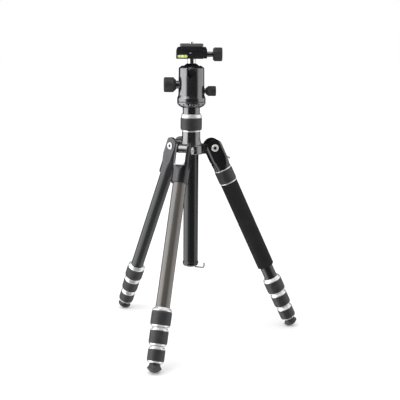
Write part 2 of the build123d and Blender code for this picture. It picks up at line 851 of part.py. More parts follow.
def clamp_body():
    """Clamp body with the fixed jaw, the screw and guide bores and the level's pocket."""
    jaw_top = groove_floor + jaw_height
    undercut = groove_floor + dovetail_edge_height + sliding_fit
    body = extruded_along_y(
        clamp_half_length,
        (-clamp_left + clamp_break, clamp_bottom),
        (clamp_right, clamp_bottom),
        (clamp_right, groove_floor),
        (-dovetail_half_width - sliding_fit, groove_floor),
        (-dovetail_half_width - sliding_fit, undercut),
        (-plate_neck_half_width - 2 * sliding_fit, undercut + dovetail_slope_height - sliding_fit),
        (-dovetail_half_width - jaw_lip, jaw_top),
        (-clamp_left + fixed_jaw_slope, jaw_top),
        (-clamp_left + fixed_jaw_step, jaw_top - fixed_jaw_drop),
        (-clamp_left, groove_floor - clamp_break),
        (-clamp_left, clamp_bottom + clamp_break),
    )
    body -= rod(stem_pin_radius + running_fit, clamp_bottom, clamp_bottom + stem_pin_height + part_gap)
    screw_end = clamp_right - clamp_screw_length - bore_end_room
    pin_end = clamp_right - guide_pin_length - bore_end_room
    body -= screw_place() * rod(clamp_screw_radius + running_fit, screw_end, clamp_right)
    for side in (-1, 1):
        body -= screw_place(side) * rod(guide_pin_radius + running_fit, pin_end, clamp_right)
    pocket = extrude(Plane.XZ * SlotOverall(level_length, level_height), level_depth)
    pocket_centre = -clamp_left + level_inset + level_length / 2
    pocket_place = Pos(pocket_centre, -clamp_half_length + level_depth, clamp_bottom + level_rise)
    return body - pocket_place * pocket


def clamp_jaw():
    """Movable jaw with its two guide pins."""
    inner = clamp_right + jaw_gap
    outer = inner + jaw_thickness
    jaw_top = groove_floor + jaw_height
    undercut = groove_floor + dovetail_edge_height + sliding_fit
    jaw = extruded_along_y(
        clamp_half_length,
        (inner, clamp_bottom + jaw_foot),
        (outer, clamp_bottom + jaw_foot),
        (outer, jaw_top - movable_jaw_drop),
        (outer - movable_jaw_slope, jaw_top),
        (dovetail_half_width + jaw_lip, jaw_top),
        (plate_neck_half_width + 2 * sliding_fit, undercut + dovetail_slope_height - sliding_fit),
        (dovetail_half_width + sliding_fit, undercut),
        (dovetail_half_width + sliding_fit, groove_floor + part_gap),
        (inner, groove_floor + part_gap),
    )
    jaw -= screw_place() * rod(clamp_screw_radius + running_fit, inner, outer)
    for side in (-1, 1):
        jaw += screw_place(side) * rod(guide_pin_radius, clamp_right - guide_pin_length, inner + 1)
    return jaw


def clamp_knob():
    """Clamp knob with its collar and screw."""
    collar_start = clamp_right + jaw_gap + jaw_thickness + part_gap
    knob_start = collar_start + knob_collar_length
    grip = knob(
        clamp_knob_radius,
        clamp_knob_radius - clamp_knob_shoulder,
        clamp_knob_shoulder,
        clamp_knob_length,
        flutes_per_large_knob,
    )
    shaft = rod(clamp_screw_radius, clamp_right - clamp_screw_length, collar_start)
    collar = rod(knob_collar_radius, collar_start, knob_start)
    return screw_place() * (shaft + collar + Pos(0, 0, knob_start) * grip)


def quick_release_plate():
    """Dovetail plate with the camera screw's slot-headed recess underneath."""
    shoulder = plate_bottom + dovetail_edge_height + dovetail_slope_height
    right_side = [
        (dovetail_half_width, plate_bottom),
        (dovetail_half_width, plate_bottom + dovetail_edge_height),
        (plate_neck_half_width, shoulder),
        (plate_half_width, plate_top - plate_flange_height),
        (plate_half_width, plate_top),
    ]
    left_side = [(-x, z) for x, z in reversed(right_side)]
    plate = extruded_along_y(plate_half_length, *right_side, *left_side)
    outline = RectangleRounded(2 * plate_half_width, 2 * plate_half_length, plate_corner)
    plate = plate & Pos(0, 0, plate_bottom) * extrude(outline, plate_height)
    recess_radius = camera_screw_head_radius + camera_screw_recess_gap
    plate -= rod(recess_radius, plate_bottom, plate_bottom + camera_screw_recess_depth)
    return plate - rod(camera_screw_radius + running_fit, plate_bottom, plate_top)


def camera_screw():
    """Captive camera screw, its head up under the plate and its thread clear above the pads."""
    head_top = plate_bottom + camera_screw_recess_depth - part_gap
    head_bottom = head_top - camera_screw_head_height
    thread_start = plate_top + part_gap
    thread = rod(camera_screw_radius, thread_start, plate_top + camera_screw_reach)
    thread = chamfer(thread.faces().sort_by(Axis.Z)[-1].edges(), camera_screw_tip)
    shank = rod(camera_screw_shank_radius, head_top, thread_start)
    head = rod(camera_screw_head_radius, head_bottom, head_top)
    coin_slot = block(
        (-camera_screw_slot_half_width, camera_screw_slot_half_width),
        (-camera_screw_head_radius, camera_screw_head_radius),
        (head_bottom, head_bottom + camera_screw_slot_depth),
    )
    return thread + shank + head - coin_slot


# ---- every node ----
nodes = {
    "spider": spider(),
    "hinge_bolts": hinge_bolts(),
    "column_lock_collar": column_lock_collar(),
    "column_lock_grip": column_lock_grip(),
    "column_tube": column_tube(),
    "column_platform": column_platform(),
    "column_cap": column_cap(),
    "hook": hook(),
    "pan_base": pan_base(),
    "housing": housing(),
    "ball_cup": ball_cup(),
    "ball_stem": ball_stem(),
    "lock_knob": lock_knob(),
    "pan_knob": pan_knob(),
    "clamp_body": clamp_body(),
    "clamp_jaw": clamp_jaw(),
    "clamp_knob": clamp_knob(),
    "quick_release_plate": quick_release_plate(),
    "camera_screw": camera_screw(),
}

for number, azimuth in enumerate(leg_azimuths, start=1):
    place = leg_place(azimuth)
    detachable = number == detachable_leg
    nodes[f"leg_{number}_top"] = place * leg_top(detachable)
    nodes[f"leg_{number}_latch"] = place * latch()
    nodes[f"leg_{number}_foot"] = place * foot()
    for index in range(len(tube_radii)):
        nodes[f"leg_{number}_tube_{index + 1}"] = place * leg_tube(index, detachable)
    for index in range(len(lock_radii)):
        nodes[f"leg_{number}_lock_{index + 1}"] = place * lock_collar(index)
        nodes[f"leg_{number}_grip_{index + 1}"] = place * lock_grip(index)
    if detachable:
        nodes["monopod_collar"] = place * monopod_collar()
        nodes["foam_grip"] = place * foam_grip()

os.makedirs("parts", exist_ok=True)
for name, shape in nodes.items():
    solids = shape if isinstance(shape, list) else shape.solids()
    export_step(Compound(children=list(solids)), f"parts/{name}.step")
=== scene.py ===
import json
from math import atan2, cos, hypot, pi, radians, sin

import bpy
from bpy.props import FloatProperty, FloatVectorProperty, IntProperty, PointerProperty
from bpy.types import Operator, Panel, PropertyGroup
from mathutils import Euler, Matrix, Vector


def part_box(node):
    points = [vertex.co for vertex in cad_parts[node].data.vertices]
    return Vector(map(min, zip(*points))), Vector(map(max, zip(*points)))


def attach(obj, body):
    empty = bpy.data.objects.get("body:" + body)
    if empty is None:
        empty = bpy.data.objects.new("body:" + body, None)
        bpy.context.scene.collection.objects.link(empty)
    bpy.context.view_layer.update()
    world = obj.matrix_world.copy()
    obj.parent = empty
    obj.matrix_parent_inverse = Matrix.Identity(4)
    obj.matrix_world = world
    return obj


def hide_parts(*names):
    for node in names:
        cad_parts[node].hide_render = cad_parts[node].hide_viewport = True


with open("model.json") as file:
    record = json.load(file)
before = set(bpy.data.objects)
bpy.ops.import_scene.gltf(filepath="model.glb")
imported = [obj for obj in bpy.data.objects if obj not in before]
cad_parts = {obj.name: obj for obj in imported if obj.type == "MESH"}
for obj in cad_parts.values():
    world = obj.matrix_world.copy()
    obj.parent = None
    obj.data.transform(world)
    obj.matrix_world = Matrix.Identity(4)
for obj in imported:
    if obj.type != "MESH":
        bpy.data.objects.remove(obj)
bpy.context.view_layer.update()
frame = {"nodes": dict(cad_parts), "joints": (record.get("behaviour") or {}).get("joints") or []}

bl_info = {
    "name": "Travel tripod",
    "version": (1, 0, 0),
    "blender": (4, 5, 0),
    "location": "View3D > Sidebar > Tripod",
    "description": "Grips, knobs, castings, finishes and stage for a travel tripod with a ball head",
    "category": "Object",
}

MM = 0.001
NODES = frame["nodes"]
JOINTS = {joint["name"]: joint for joint in frame["joints"]}
LEGS = (1, 2, 3)
LOCKS = (1, 2, 3)
FOAM_LEG = 1
FRONT_LEG = 3


# ---- places worked out from the frame ----
def leg_place(leg):
    """A leg's own frame: the hinge bolt at its origin, -Z down the leg and +X outwards."""
    hinge = JOINTS[f"leg_{leg}_hinge"]
    up = -Vector(JOINTS[f"leg_{leg}_section_2_slide"]["axis"])
    along_bolt = -Vector(hinge["axis"])
    outwards = along_bolt.cross(up)
    place = Matrix((outwards, along_bolt, up)).transposed().to_4x4()
    place.translation = Vector(hinge["pos_m"])
    return place


def extent(node, place):
    """A node's radius and its lowest and highest Z, in the frame of a place."""
    inverse = place.inverted()
    points = [inverse @ vertex.co for vertex in NODES[node].data.vertices]
    radius = max(hypot(point.x, point.y) for point in points)
    heights = [point.z for point in points]
    return radius, min(heights), max(heights)


LEG_PLACES = {leg: leg_place(leg) for leg in LEGS}
UPRIGHT = Matrix.Identity(4)


# ---- sizes and colours a user would change ----
def colour(name, value):
    """A colour property."""
    described = f"{name} colour"
    return FloatVectorProperty(name=name, description=described, subtype="COLOR", size=3, default=value)


def length(name, description, value):
    """A length property, given in millimetres."""
    return FloatProperty(name=name, description=description, default=value * MM, unit="LENGTH", precision=4)


def turn(name, description, degrees):
    """An angle property, given in degrees."""
    return FloatProperty(name=name, description=description, default=radians(degrees), unit="ROTATION")


def brightness(name, description, value):
    """A property for how strong a light is."""
    return FloatProperty(name=name, description=description, default=value, min=0)


class StageSettings(PropertyGroup):
    """Camera, floor and light."""

    distance: length("Distance", "Camera from the column axis", 1564.4)
    height: length("Height", "Camera above the ground", 587.8)
    pitch: turn("Pitch", "Camera tilt down", 10.6)
    yaw: turn("Yaw", "Camera turn to the side", 0.63)
    roll: turn("Roll", "Camera roll", 0.42)
    lens: FloatProperty(name="Lens", description="Focal length in mm", default=75.7)
    shift: FloatProperty(name="Shift", description="Vertical camera shift", default=-0.039)
    floor_size: length("Floor size", "Width of the floor", 24000)
    floor_colour: colour("Floor", (0.95, 0.95, 0.95))
    room_light: brightness("Room light", "Even light from all round", 1.0)
    left_panel: brightness("Left panel", "Brightness of the left softbox", 2.8)
    right_panel: brightness("Right panel", "Brightness of the right softbox", 1.3)


class GripSettings(PropertyGroup):
    """Knurled rubber grips."""

    knurl_pitch: length("Knurl pitch", "Width of one diamond", 3.4)
    knurl_depth: length("Knurl depth", "Height of one diamond", 0.7)
    wall: length("Wall", "Thickness of a grip", 2.4)
    edge: length("Edge", "Rounding of a grip's edges", 0.9)
    cover: length("Cover", "How far the lower grips of a leg reach up over their bright rings", 2.4)


class KnobSettings(PropertyGroup):
    """Fluted knobs."""

    large_flutes: IntProperty(name="Large flutes", description="Flutes on a large knob", default=30, min=8)
    small_flutes: IntProperty(name="Small flutes", description="Flutes on the small knob", default=22, min=8)
    flute_depth: length("Flute depth", "Depth of a flute", 0.45)
    edge: length("Edge", "Rounding of a knob's outer edge", 2.4)
    lock_length: length("Lock knob", "Length of the ball lock knob", 23.0)
    pan_length: length("Pan knob", "Length of the pan knob", 19.0)
    clamp_length: length("Clamp knob", "Length of the clamp knob", 17.2)
    lock_neck: length("Lock knob's neck", "Radius of the ball lock knob's inner face", 8.5)
    pan_neck: length("Pan knob's neck", "Radius of the pan knob's inner face", 6.2)
    clamp_neck: length("Clamp knob's neck", "Radius of the clamp knob's inner face", 10.8)


class TrimSettings(PropertyGroup):
    """Level, pads, set screws and edges."""

    pad_height: length("Pad height", "How far the pads stand proud of the plate", 0.5)
    pad_gap: length("Pad gap", "Between the two pads", 9.0)
    pad_margin: length("Pad margin", "Plate left bare round the pads", 1.6)
    casting_edge: length("Casting edge", "Rounding of the castings' edges", 0.6)
    machined_edge: length("Machined edge", "Rounding of machined edges", 0.3)
    vial_radius: length("Vial radius", "Radius of the level's vial", 3.2)
    vial_length: length("Vial length", "Length of the level's vial", 19.2)
    screw_radius: length("Set screw radius", "Radius of the small set screws", 1.5)
    # The dark floor in a bolt's socket is painted shade.
    socket_depth: length("Socket depth", "Depth of the dark floor in a bolt's socket", 1.2)


class FinishSettings(PropertyGroup):
    """Base colours of the finishes."""

    castings: colour("Castings", (0.066, 0.066, 0.069))
    head: colour("Head shell", (0.16, 0.16, 0.165))
    clamp: colour("Clamp", (0.012, 0.012, 0.014))
    # The plate's flange colour is a painted highlight: a lighter band where the flange edge would catch
    # light.
    plate: colour("Plate flange highlight", (0.085, 0.085, 0.088))
    shoulder: colour("Shoulder", (0.20, 0.20, 0.205))
    aluminium: colour("Bright aluminium", (0.86, 0.86, 0.87))
    steel: colour("Bright steel", (0.80, 0.80, 0.77))
    carbon_dark: colour("Dark carbon", (0.012, 0.013, 0.014))
    carbon_grey: colour("Grey carbon", (0.090, 0.080, 0.072))
    rubber: colour("Rubber", (0.018, 0.018, 0.019))
    foam: colour("Foam", (0.010, 0.010, 0.011))
    vial: colour("Vial", (0.52, 0.60, 0.16))
    pad: colour("Plate pad", (0.060, 0.060, 0.062))


class TripodSettings(PropertyGroup):
    """Everything that can be set on the tripod."""

    stage: PointerProperty(type=StageSettings)
    grips: PointerProperty(type=GripSettings)
    knobs: PointerProperty(type=KnobSettings)
    trim: PointerProperty(type=TrimSettings)
    finishes: PointerProperty(type=FinishSettings)


# ---- mesh helpers ----
def select_only(piece):
    """Leaves one object selected and active."""
    bpy.ops.object.select_all(action="DESELECT")
    piece.select_set(True)
    bpy.context.view_layer.objects.active = piece


def rename(piece, name):
    """Names an object and its mesh."""
    piece.name = name
    piece.data.name = name
    return piece


def turned(name, outline, steps, closed=True):
    """Spins an outline of (radius, height) points round Z into a solid of revolution."""
    bpy.ops.object.select_all(action="DESELECT")
    bpy.ops.mesh.primitive_plane_add(size=MM)
    piece = rename(bpy.context.object, name)
    bpy.ops.object.mode_set(mode="EDIT")
    bpy.ops.mesh.select_all(action="SELECT")
    bpy.ops.mesh.merge(type="CENTER")
    bpy.ops.transform.translate(value=(outline[0][0], 0, outline[0][1]))
    ends = outline[1:] + outline[:1] if closed else outline[1:]
    for (radius, height), (next_radius, next_height) in zip(outline, ends):
        step = (next_radius - radius, 0, next_height - height)
        bpy.ops.mesh.extrude_region_move(TRANSFORM_OT_translate={"value": step})
    bpy.ops.mesh.select_all(action="SELECT")
    bpy.ops.mesh.spin(steps=steps, angle=2 * pi, center=(0, 0, 0), axis=(0, 0, 1))
    close_mesh()
    bpy.ops.object.mode_set(mode="OBJECT")
    return piece


def close_mesh():
    """Merges doubles and points every face outwards, in edit mode."""
    bpy.ops.mesh.select_all(action="SELECT")
    bpy.ops.mesh.remove_doubles(threshold=1e-6)
    bpy.ops.mesh.normals_make_consistent(inside=False)


def corner(radius, height, size, start, end, points=4):
    """Points on a quarter round in an outline: its centre, its size and two angles in degrees."""
    found = []
    for index in range(points + 1):
        angle = radians(start + (end - start) * index / points)
        found.append((radius + size * cos(angle), height + size * sin(angle)))
    return found


def run_of(radius, start, end, count):
    """Evenly spaced outline points on a straight wall, between its two ends."""
    return [(radius, start + (end - start) * index / count) for index in range(1, count)]


def choose_vertices(piece, chosen):
    """Selects the chosen vertices by their place, and leaves the piece in edit mode."""
    select_only(piece)
    bpy.ops.object.mode_set(mode="EDIT")
    bpy.ops.mesh.select_mode(type="VERT")
    bpy.ops.mesh.select_all(action="DESELECT")
    bpy.ops.object.mode_set(mode="OBJECT")
    for vertex in piece.data.vertices:
        vertex.select = chosen(vertex.co)
    bpy.ops.object.mode_set(mode="EDIT")


def raise_vertices(piece, chosen, distance):
    """Moves the chosen vertices along their normals."""
    choose_vertices(piece, chosen)
    bpy.ops.transform.shrink_fatten(value=distance)
    bpy.ops.object.mode_set(mode="OBJECT")


def soften(piece, width, segments=2, angle=radians(35)):
    """Rounds a piece's edges with an applied bevel."""
    select_only(piece)
    bevel = piece.modifiers.new("Soft edges", "BEVEL")
    bevel.width = width
    bevel.segments = segments
    bevel.limit_method = "ANGLE"
    bevel.angle_limit = angle
    bevel.use_clamp_overlap = True
    bpy.ops.object.modifier_apply(modifier=bevel.name)


def smooth(piece, angle=radians(32)):
    """Smooth shading, with sharp edges kept."""
    select_only(piece)
    bpy.ops.object.shade_smooth_by_angle(angle=angle)


def moved_copy(piece, name, place):
    """A copy of a piece with its own mesh, moved to a place."""
    copy = piece.copy()
    copy.data = piece.data.copy()
    bpy.context.scene.collection.objects.link(copy)
    copy.data.transform(place)
    return rename(copy, name)


def settle(piece, place):
    """Moves a piece's mesh to its place and leaves the object at the origin."""
    piece.data.transform(place)
    return piece


def eased_copy(node, name, width):
    """A copy of a CAD node with its triangles merged and its edges rounded."""
    piece = moved_copy(NODES[node], name, UPRIGHT)
    piece.parent = None
    piece.matrix_world = UPRIGHT
    for key in list(piece.keys()):
        del piece[key]
    piece.data.materials.clear()
    select_only(piece)
    bpy.ops.object.mode_set(mode="EDIT")
    bpy.ops.mesh.select_all(action="SELECT")
    bpy.ops.mesh.remove_doubles(threshold=1e-6)
    bpy.ops.mesh.dissolve_limited(angle_limit=radians(1))
    bpy.ops.object.mode_set(mode="OBJECT")
    soften(piece, width)
    smooth(piece)
    weighted = piece.modifiers.new("Weighted normals", "WEIGHTED_NORMAL")
    weighted.keep_sharp = True
    bpy.ops.object.modifier_apply(modifier=weighted.name)
    return piece


def finish_piece(piece, body, slot, material, *nodes):
    """Gives a piece its material and its body, and hides the CAD nodes that it stands for. The slot is not
    used.
    """
    piece.data.materials.clear()
    piece.data.materials.append(material)
    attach(piece, body)
    if nodes:
        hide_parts(*nodes)


# ---- shader helpers ----
def group(name, inputs, outputs):
    """A new shader node group with float, vector or colour sockets, and its two end nodes."""
    tree = bpy.data.node_groups.new(name, "ShaderNodeTree")
    kinds = {"value": "NodeSocketFloat", "vector": "NodeSocketVector", "colour": "NodeSocketColor"}
    for socket, (kind, value) in inputs.items():
        made = tree.interface.new_socket(socket, in_out="INPUT", socket_type=kinds[kind])
        if value is not None:
            made.default_value = value
    for socket, kind in outputs.items():
        tree.interface.new_socket(socket, in_out="OUTPUT", socket_type=kinds[kind])
    start = tree.nodes.new("NodeGroupInput")
    end = tree.nodes.new("NodeGroupOutput")
    return tree, start, end


def feed(tree, socket, value):
    """Links an output, or sets a plain value, on an input socket."""
    if isinstance(value, bpy.types.NodeSocket):
        tree.links.new(value, socket)
    else:
        socket.default_value = value


def math(tree, operation, *values):
    """A Math node's result."""
    node = tree.nodes.new("ShaderNodeMath")
    node.operation = operation
    for index, value in enumerate(values):
        feed(tree, node.inputs[index], value)
    return node.outputs[0]


def ramp(tree, value, low, high, to_low=0.0, to_high=1.0):
    """A clamped, smoothed Map Range."""
    node = tree.nodes.new("ShaderNodeMapRange")
    node.interpolation_type = "SMOOTHSTEP"
    for index, number in enumerate((value, low, high, to_low, to_high)):
        feed(tree, node.inputs[index], number)
    return node.outputs[0]


def noise(tree, vector, scale, detail=2.0, roughness=0.5):
    """A Noise Texture's value."""
    node = tree.nodes.new("ShaderNodeTexNoise")
    feed(tree, node.inputs["Vector"], vector)
    feed(tree, node.inputs["Scale"], scale)
    feed(tree, node.inputs["Detail"], detail)
    feed(tree, node.inputs["Roughness"], roughness)
    return node.outputs["Fac"]


def mix_colour(tree, factor, first, second):
    """A colour mixed from two by a factor."""
    node = tree.nodes.new("ShaderNodeMix")
    node.data_type = "RGBA"
    feed(tree, node.inputs["Factor"], factor)
    colours = [socket for socket in node.inputs if socket.type == "RGBA"]
    for socket, value in zip(colours, (first, second)):
        feed(tree, socket, (*value, 1.0) if isinstance(value, tuple) else value)
    return next(socket for socket in node.outputs if socket.type == "RGBA")


def combine(tree, x, y, z):
    """A vector from three values."""
    node = tree.nodes.new("ShaderNodeCombineXYZ")
    for index, value in enumerate((x, y, z)):
        feed(tree, node.inputs[index], value)
    return node.outputs[0]


def separate(tree, vector):
    """A vector's three values."""
    node = tree.nodes.new("ShaderNodeSeparateXYZ")
    tree.links.new(vector, node.inputs[0])
    return node.outputs[0], node.outputs[1], node.outputs[2]


# ---- shared effects ----
def grain_group():
    """Fine moulded or blasted grain: a height, and a slow unevenness for colour and roughness."""
    tree, start, end = group(
        "Grain",
        {"Vector": ("vector", None), "Scale": ("value", 2500.0), "Patch scale": ("value", 40.0)},
        {"Height": "value", "Patches": "value"},
    )
    vector = start.outputs["Vector"]
    fine = noise(tree, vector, start.outputs["Scale"], 3.0, 0.6)
    patches = noise(tree, vector, start.outputs["Patch scale"], 4.0, 0.55)
    tree.links.new(fine, end.inputs["Height"])
    tree.links.new(ramp(tree, patches, 0.32, 0.68), end.inputs["Patches"])
    return tree


def wear_group():
    """Bare metal showing along edges, broken up by noise."""
    tree, start, end = group(
        "Edge wear",
        {"Vector": ("vector", None), "Width": ("value", 0.0006), "Amount": ("value", 1.0)},
        {"Mask": "value"},
    )
    bevel = tree.nodes.new("ShaderNodeBevel")
    bevel.samples = 4
    tree.links.new(start.outputs["Width"], bevel.inputs["Radius"])
    geometry = tree.nodes.new("ShaderNodeNewGeometry")
    product = tree.nodes.new("ShaderNodeVectorMath")
    product.operation = "DOT_PRODUCT"
    tree.links.new(bevel.outputs["Normal"], product.inputs[0])
    tree.links.new(geometry.outputs["Normal"], product.inputs[1])
    edge = ramp(tree, product.outputs["Value"], 0.98, 0.80)
    broken = ramp(tree, noise(tree, start.outputs["Vector"], 350.0, 4.0, 0.65), 0.42, 0.62)
    mask = math(tree, "MULTIPLY", math(tree, "MULTIPLY", edge, broken), start.outputs["Amount"])
    tree.links.new(mask, end.inputs["Mask"])
    return tree


def turning_group():
    """Fine rings left by a lathe, round the Z axis of the vector."""
    tree, start, end = group(
        "Turning marks",
        {"Vector": ("vector", None), "Pitch": ("value", 0.00025)},
        {"Height": "value", "Streaks": "value"},
    )
    x, y, z = separate(tree, start.outputs["Vector"])
    radius = math(tree, "SQRT", math(tree, "ADD", math(tree, "MULTIPLY", x, x), math(tree, "MULTIPLY", y, y)))
    travel = math(tree, "DIVIDE", math(tree, "ADD", z, radius), start.outputs["Pitch"])
    rings = noise(tree, combine(tree, travel, 0.0, 0.0), 1.0, 3.0, 0.7)
    angle = math(tree, "ARCTAN2", y, x)
    around = math(tree, "MULTIPLY", angle, 1.5)
    streaks = noise(tree, combine(tree, around, math(tree, "MULTIPLY", travel, 0.08), 0.0), 1.0, 2.0, 0.5)
    tree.links.new(rings, end.inputs["Height"])
    tree.links.new(ramp(tree, streaks, 0.35, 0.65), end.inputs["Streaks"])
    return tree


def twill_group():
    """Two-over-two twill of carbon tows wrapped round the Z axis of the vector."""
    tree, start, end = group(
        "Carbon twill",
        {"Vector": ("vector", None), "Radius": ("value", 0.0125), "Tow": ("value", 0.0016)},
        {"Height": "value", "Tows": "value", "Fibres": "value"},
    )
    x, y, z = separate(tree, start.outputs["Vector"])
    angle = math(tree, "ARCTAN2", y, x)
    arc = math(tree, "MULTIPLY", angle, start.outputs["Radius"])
    around = math(tree, "DIVIDE", arc, start.outputs["Tow"])
    along = math(tree, "DIVIDE", z, start.outputs["Tow"])
    cell = math(tree, "ADD", math(tree, "FLOOR", around), math(tree, "FLOOR", along))
    phase = math(tree, "FLOORED_MODULO", cell, 4.0)
    warp = math(tree, "LESS_THAN", phase, 1.5)
    across = math(tree, "SUBTRACT", math(tree, "FRACT", around), 0.5)
    down = math(tree, "SUBTRACT", math(tree, "FRACT", along), 0.5)
    crown_warp = math(tree, "SUBTRACT", 0.25, math(tree, "MULTIPLY", across, across))
    crown_weft = math(tree, "SUBTRACT", 0.25, math(tree, "MULTIPLY", down, down))
    warp_part = math(tree, "MULTIPLY", warp, crown_warp)
    weft_part = math(tree, "MULTIPLY", math(tree, "SUBTRACT", 1.0, warp), crown_weft)
    height = math(tree, "MULTIPLY", math(tree, "ADD", warp_part, weft_part), 4.0)
    strands = noise(tree, combine(tree, math(tree, "MULTIPLY", around, 9.0), along, 0.0), 1.0, 1.0, 0.5)
    tree.links.new(height, end.inputs["Height"])
    tree.links.new(warp, end.inputs["Tows"])
    tree.links.new(strands, end.inputs["Fibres"])
    return tree


def flake_group():
    """Small metal flakes in a lacquer: a random brightness for each."""
    tree, start, end = group(
        "Metal flake",
        {"Vector": ("vector", None), "Scale": ("value", 2200.0)},
        {"Brightness": "value"},
    )
    cells = tree.nodes.new("ShaderNodeTexVoronoi")
    tree.links.new(start.outputs["Vector"], cells.inputs["Vector"])
    tree.links.new(start.outputs["Scale"], cells.inputs["Scale"])
    random = tree.nodes.new("ShaderNodeTexWhiteNoise")
    tree.links.new(cells.outputs["Position"], random.inputs["Vector"])
    tree.links.new(random.outputs["Value"], end.inputs["Brightness"])
    return tree


def pore_group():
    """Open cells of a cut foam skin."""
    tree, start, end = group(
        "Foam pores",
        {"Vector": ("vector", None), "Scale": ("value", 900.0)},
        {"Height": "value", "Pores": "value"},
    )
    cells = tree.nodes.new("ShaderNodeTexVoronoi")
    tree.links.new(start.outputs["Vector"], cells.inputs["Vector"])
    tree.links.new(start.outputs["Scale"], cells.inputs["Scale"])
    pores = ramp(tree, cells.outputs["Distance"], 0.15, 0.55)
    rough = noise(tree, start.outputs["Vector"], 2600.0, 3.0, 0.6)
    tree.links.new(math(tree, "ADD", pores, math(tree, "MULTIPLY", rough, 0.5)), end.inputs["Height"])
    tree.links.new(pores, end.inputs["Pores"])
    return tree


def effect(tree, name, vector, **values):
    """Places a shared effect in a material, with its own values."""
    makers = {
        "Grain": grain_group,
        "Edge wear": wear_group,
        "Turning marks": turning_group,
        "Carbon twill": twill_group,
        "Metal flake": flake_group,
        "Foam pores": pore_group,
    }
    shared = bpy.data.node_groups.get(name) or makers[name]()
    node = tree.nodes.new("ShaderNodeGroup")
    node.node_tree = shared
    tree.links.new(vector, node.inputs["Vector"])
    for key, value in values.items():
        node.inputs[key.replace("_", " ").capitalize()].default_value = value
    return node.outputs


def new_material(name, place=UPRIGHT, **plain):
    """A Principled material, its tree, its shader and Object coordinates in the frame of a place."""
    material = bpy.data.materials.new(name)
    material.use_nodes = True
    tree = material.node_tree
    shader = tree.nodes["Principled BSDF"]
    for key, value in plain.items():
        shader.inputs[key.replace("_", " ")].default_value = value
    coordinates = tree.nodes.new("ShaderNodeTexCoord")
    mapping = tree.nodes.new("ShaderNodeMapping")
    mapping.vector_type = "TEXTURE"
    mapping.inputs["Location"].default_value = place.translation
    mapping.inputs["Rotation"].default_value = place.to_euler()
    tree.links.new(coordinates.outputs["Object"], mapping.inputs["Vector"])
    return material, tree, shader, mapping.outputs["Vector"]


def bump(tree, shader, height, distance, strength=1.0):
    """Bumps the shader's normal by a height."""
    node = tree.nodes.new("ShaderNodeBump")
    node.inputs["Distance"].default_value = distance
    node.inputs["Strength"].default_value = strength
    tree.links.new(height, node.inputs["Height"])
    tree.links.new(node.outputs["Normal"], shader.inputs["Normal"])


def vary_colour(tree, shader, mask, first, second):
    """Lets a mask move the base colour between two colours."""
    feed(tree, shader.inputs["Base Color"], mix_colour(tree, mask, first, second))


def vary_roughness(tree, shader, mask, first, second):
    """Lets a mask move the roughness between two values."""
    feed(tree, shader.inputs["Roughness"], ramp(tree, mask, 0.0, 1.0, first, second))


def shade(base, factor):
    """A base colour made lighter or darker."""
    return tuple(channel * factor for channel in base)


# ---- finishes ----
WORN_CASTING = (0.32, 0.32, 0.33)
WORN_SHELL = (0.45, 0.45, 0.46)
BALL_BLACKS = ((0.008, 0.008, 0.009), (0.014, 0.014, 0.015))
WEAVE_RADIUS = 12.5 * MM
FLANGE_DEPTH = 3.9 * MM
HIGHLIGHT_EDGE = 0.1 * MM


def paint(name, base, place, roughness, wear, metallic=0.0, top=None):
    """Satin coating over aluminium, its edges rubbed bright; a top is a second colour above a height, used as
    a painted highlight.
    """
    material, tree, shader, vector = new_material(name, place, Metallic=metallic, Specular_IOR_Level=0.5)
    grain = effect(tree, "Grain", vector, scale=1800.0, patch_scale=60.0)
    wear_and_painted_light = effect(tree, "Edge wear", vector, width=0.0005, amount=wear)["Mask"]
    uneven = mix_colour(tree, grain["Patches"], shade(base, 0.9), shade(base, 1.12))
    if top:
        # Painted highlight: above the height the second, lighter colour is painted in.
        second, height = top
        highlight_mask = ramp(tree, separate(tree, vector)[2], height - HIGHLIGHT_EDGE, height + HIGHLIGHT_EDGE)
        uneven = mix_colour(tree, highlight_mask, uneven, second)
    vary_colour(tree, shader, wear_and_painted_light, uneven, WORN_CASTING)
    vary_roughness(tree, shader, grain["Patches"], roughness - 0.03, roughness + 0.03)
    bump(tree, shader, grain["Height"], 0.000015, 0.5)
    return material


def gunmetal(name, base, place):
    """Dark metallic lacquer with a fine sparkle."""
    material, tree, shader, vector = new_material(
        name, place, Metallic=0.95, Coat_Weight=0.25, Coat_Roughness=0.12
    )
    flake = effect(tree, "Metal flake", vector, scale=2400.0)["Brightness"]
    grain = effect(tree, "Grain", vector, scale=2600.0, patch_scale=45.0)
    wear_and_painted_light = effect(tree, "Edge wear", vector, width=0.0004, amount=0.5)["Mask"]
    speckled = mix_colour(tree, flake, shade(base, 0.74), shade(base, 1.34))
    vary_colour(tree, shader, wear_and_painted_light, speckled, WORN_SHELL)
    vary_roughness(tree, shader, grain["Patches"], 0.17, 0.21)
    bump(tree, shader, math(tree, "ADD", grain["Height"], math(tree, "MULTIPLY", flake, 0.6)), 0.000005, 0.4)
    return material


def machined(name, base, place, roughness, metallic=1.0):
    """Bright metal straight off the lathe; a lower metallic share stands for a fine satin blast."""
    material, tree, shader, vector = new_material(name, place, Metallic=metallic)
    marks = effect(tree, "Turning marks", vector, pitch=0.00022)
    grain = effect(tree, "Grain", vector, scale=900.0, patch_scale=70.0)
    vary_colour(tree, shader, marks["Streaks"], shade(base, 0.82), base)
    vary_roughness(tree, shader, grain["Patches"], roughness - 0.05, roughness + 0.06)
    bump(tree, shader, marks["Height"], 0.00003, 0.5)
    return material


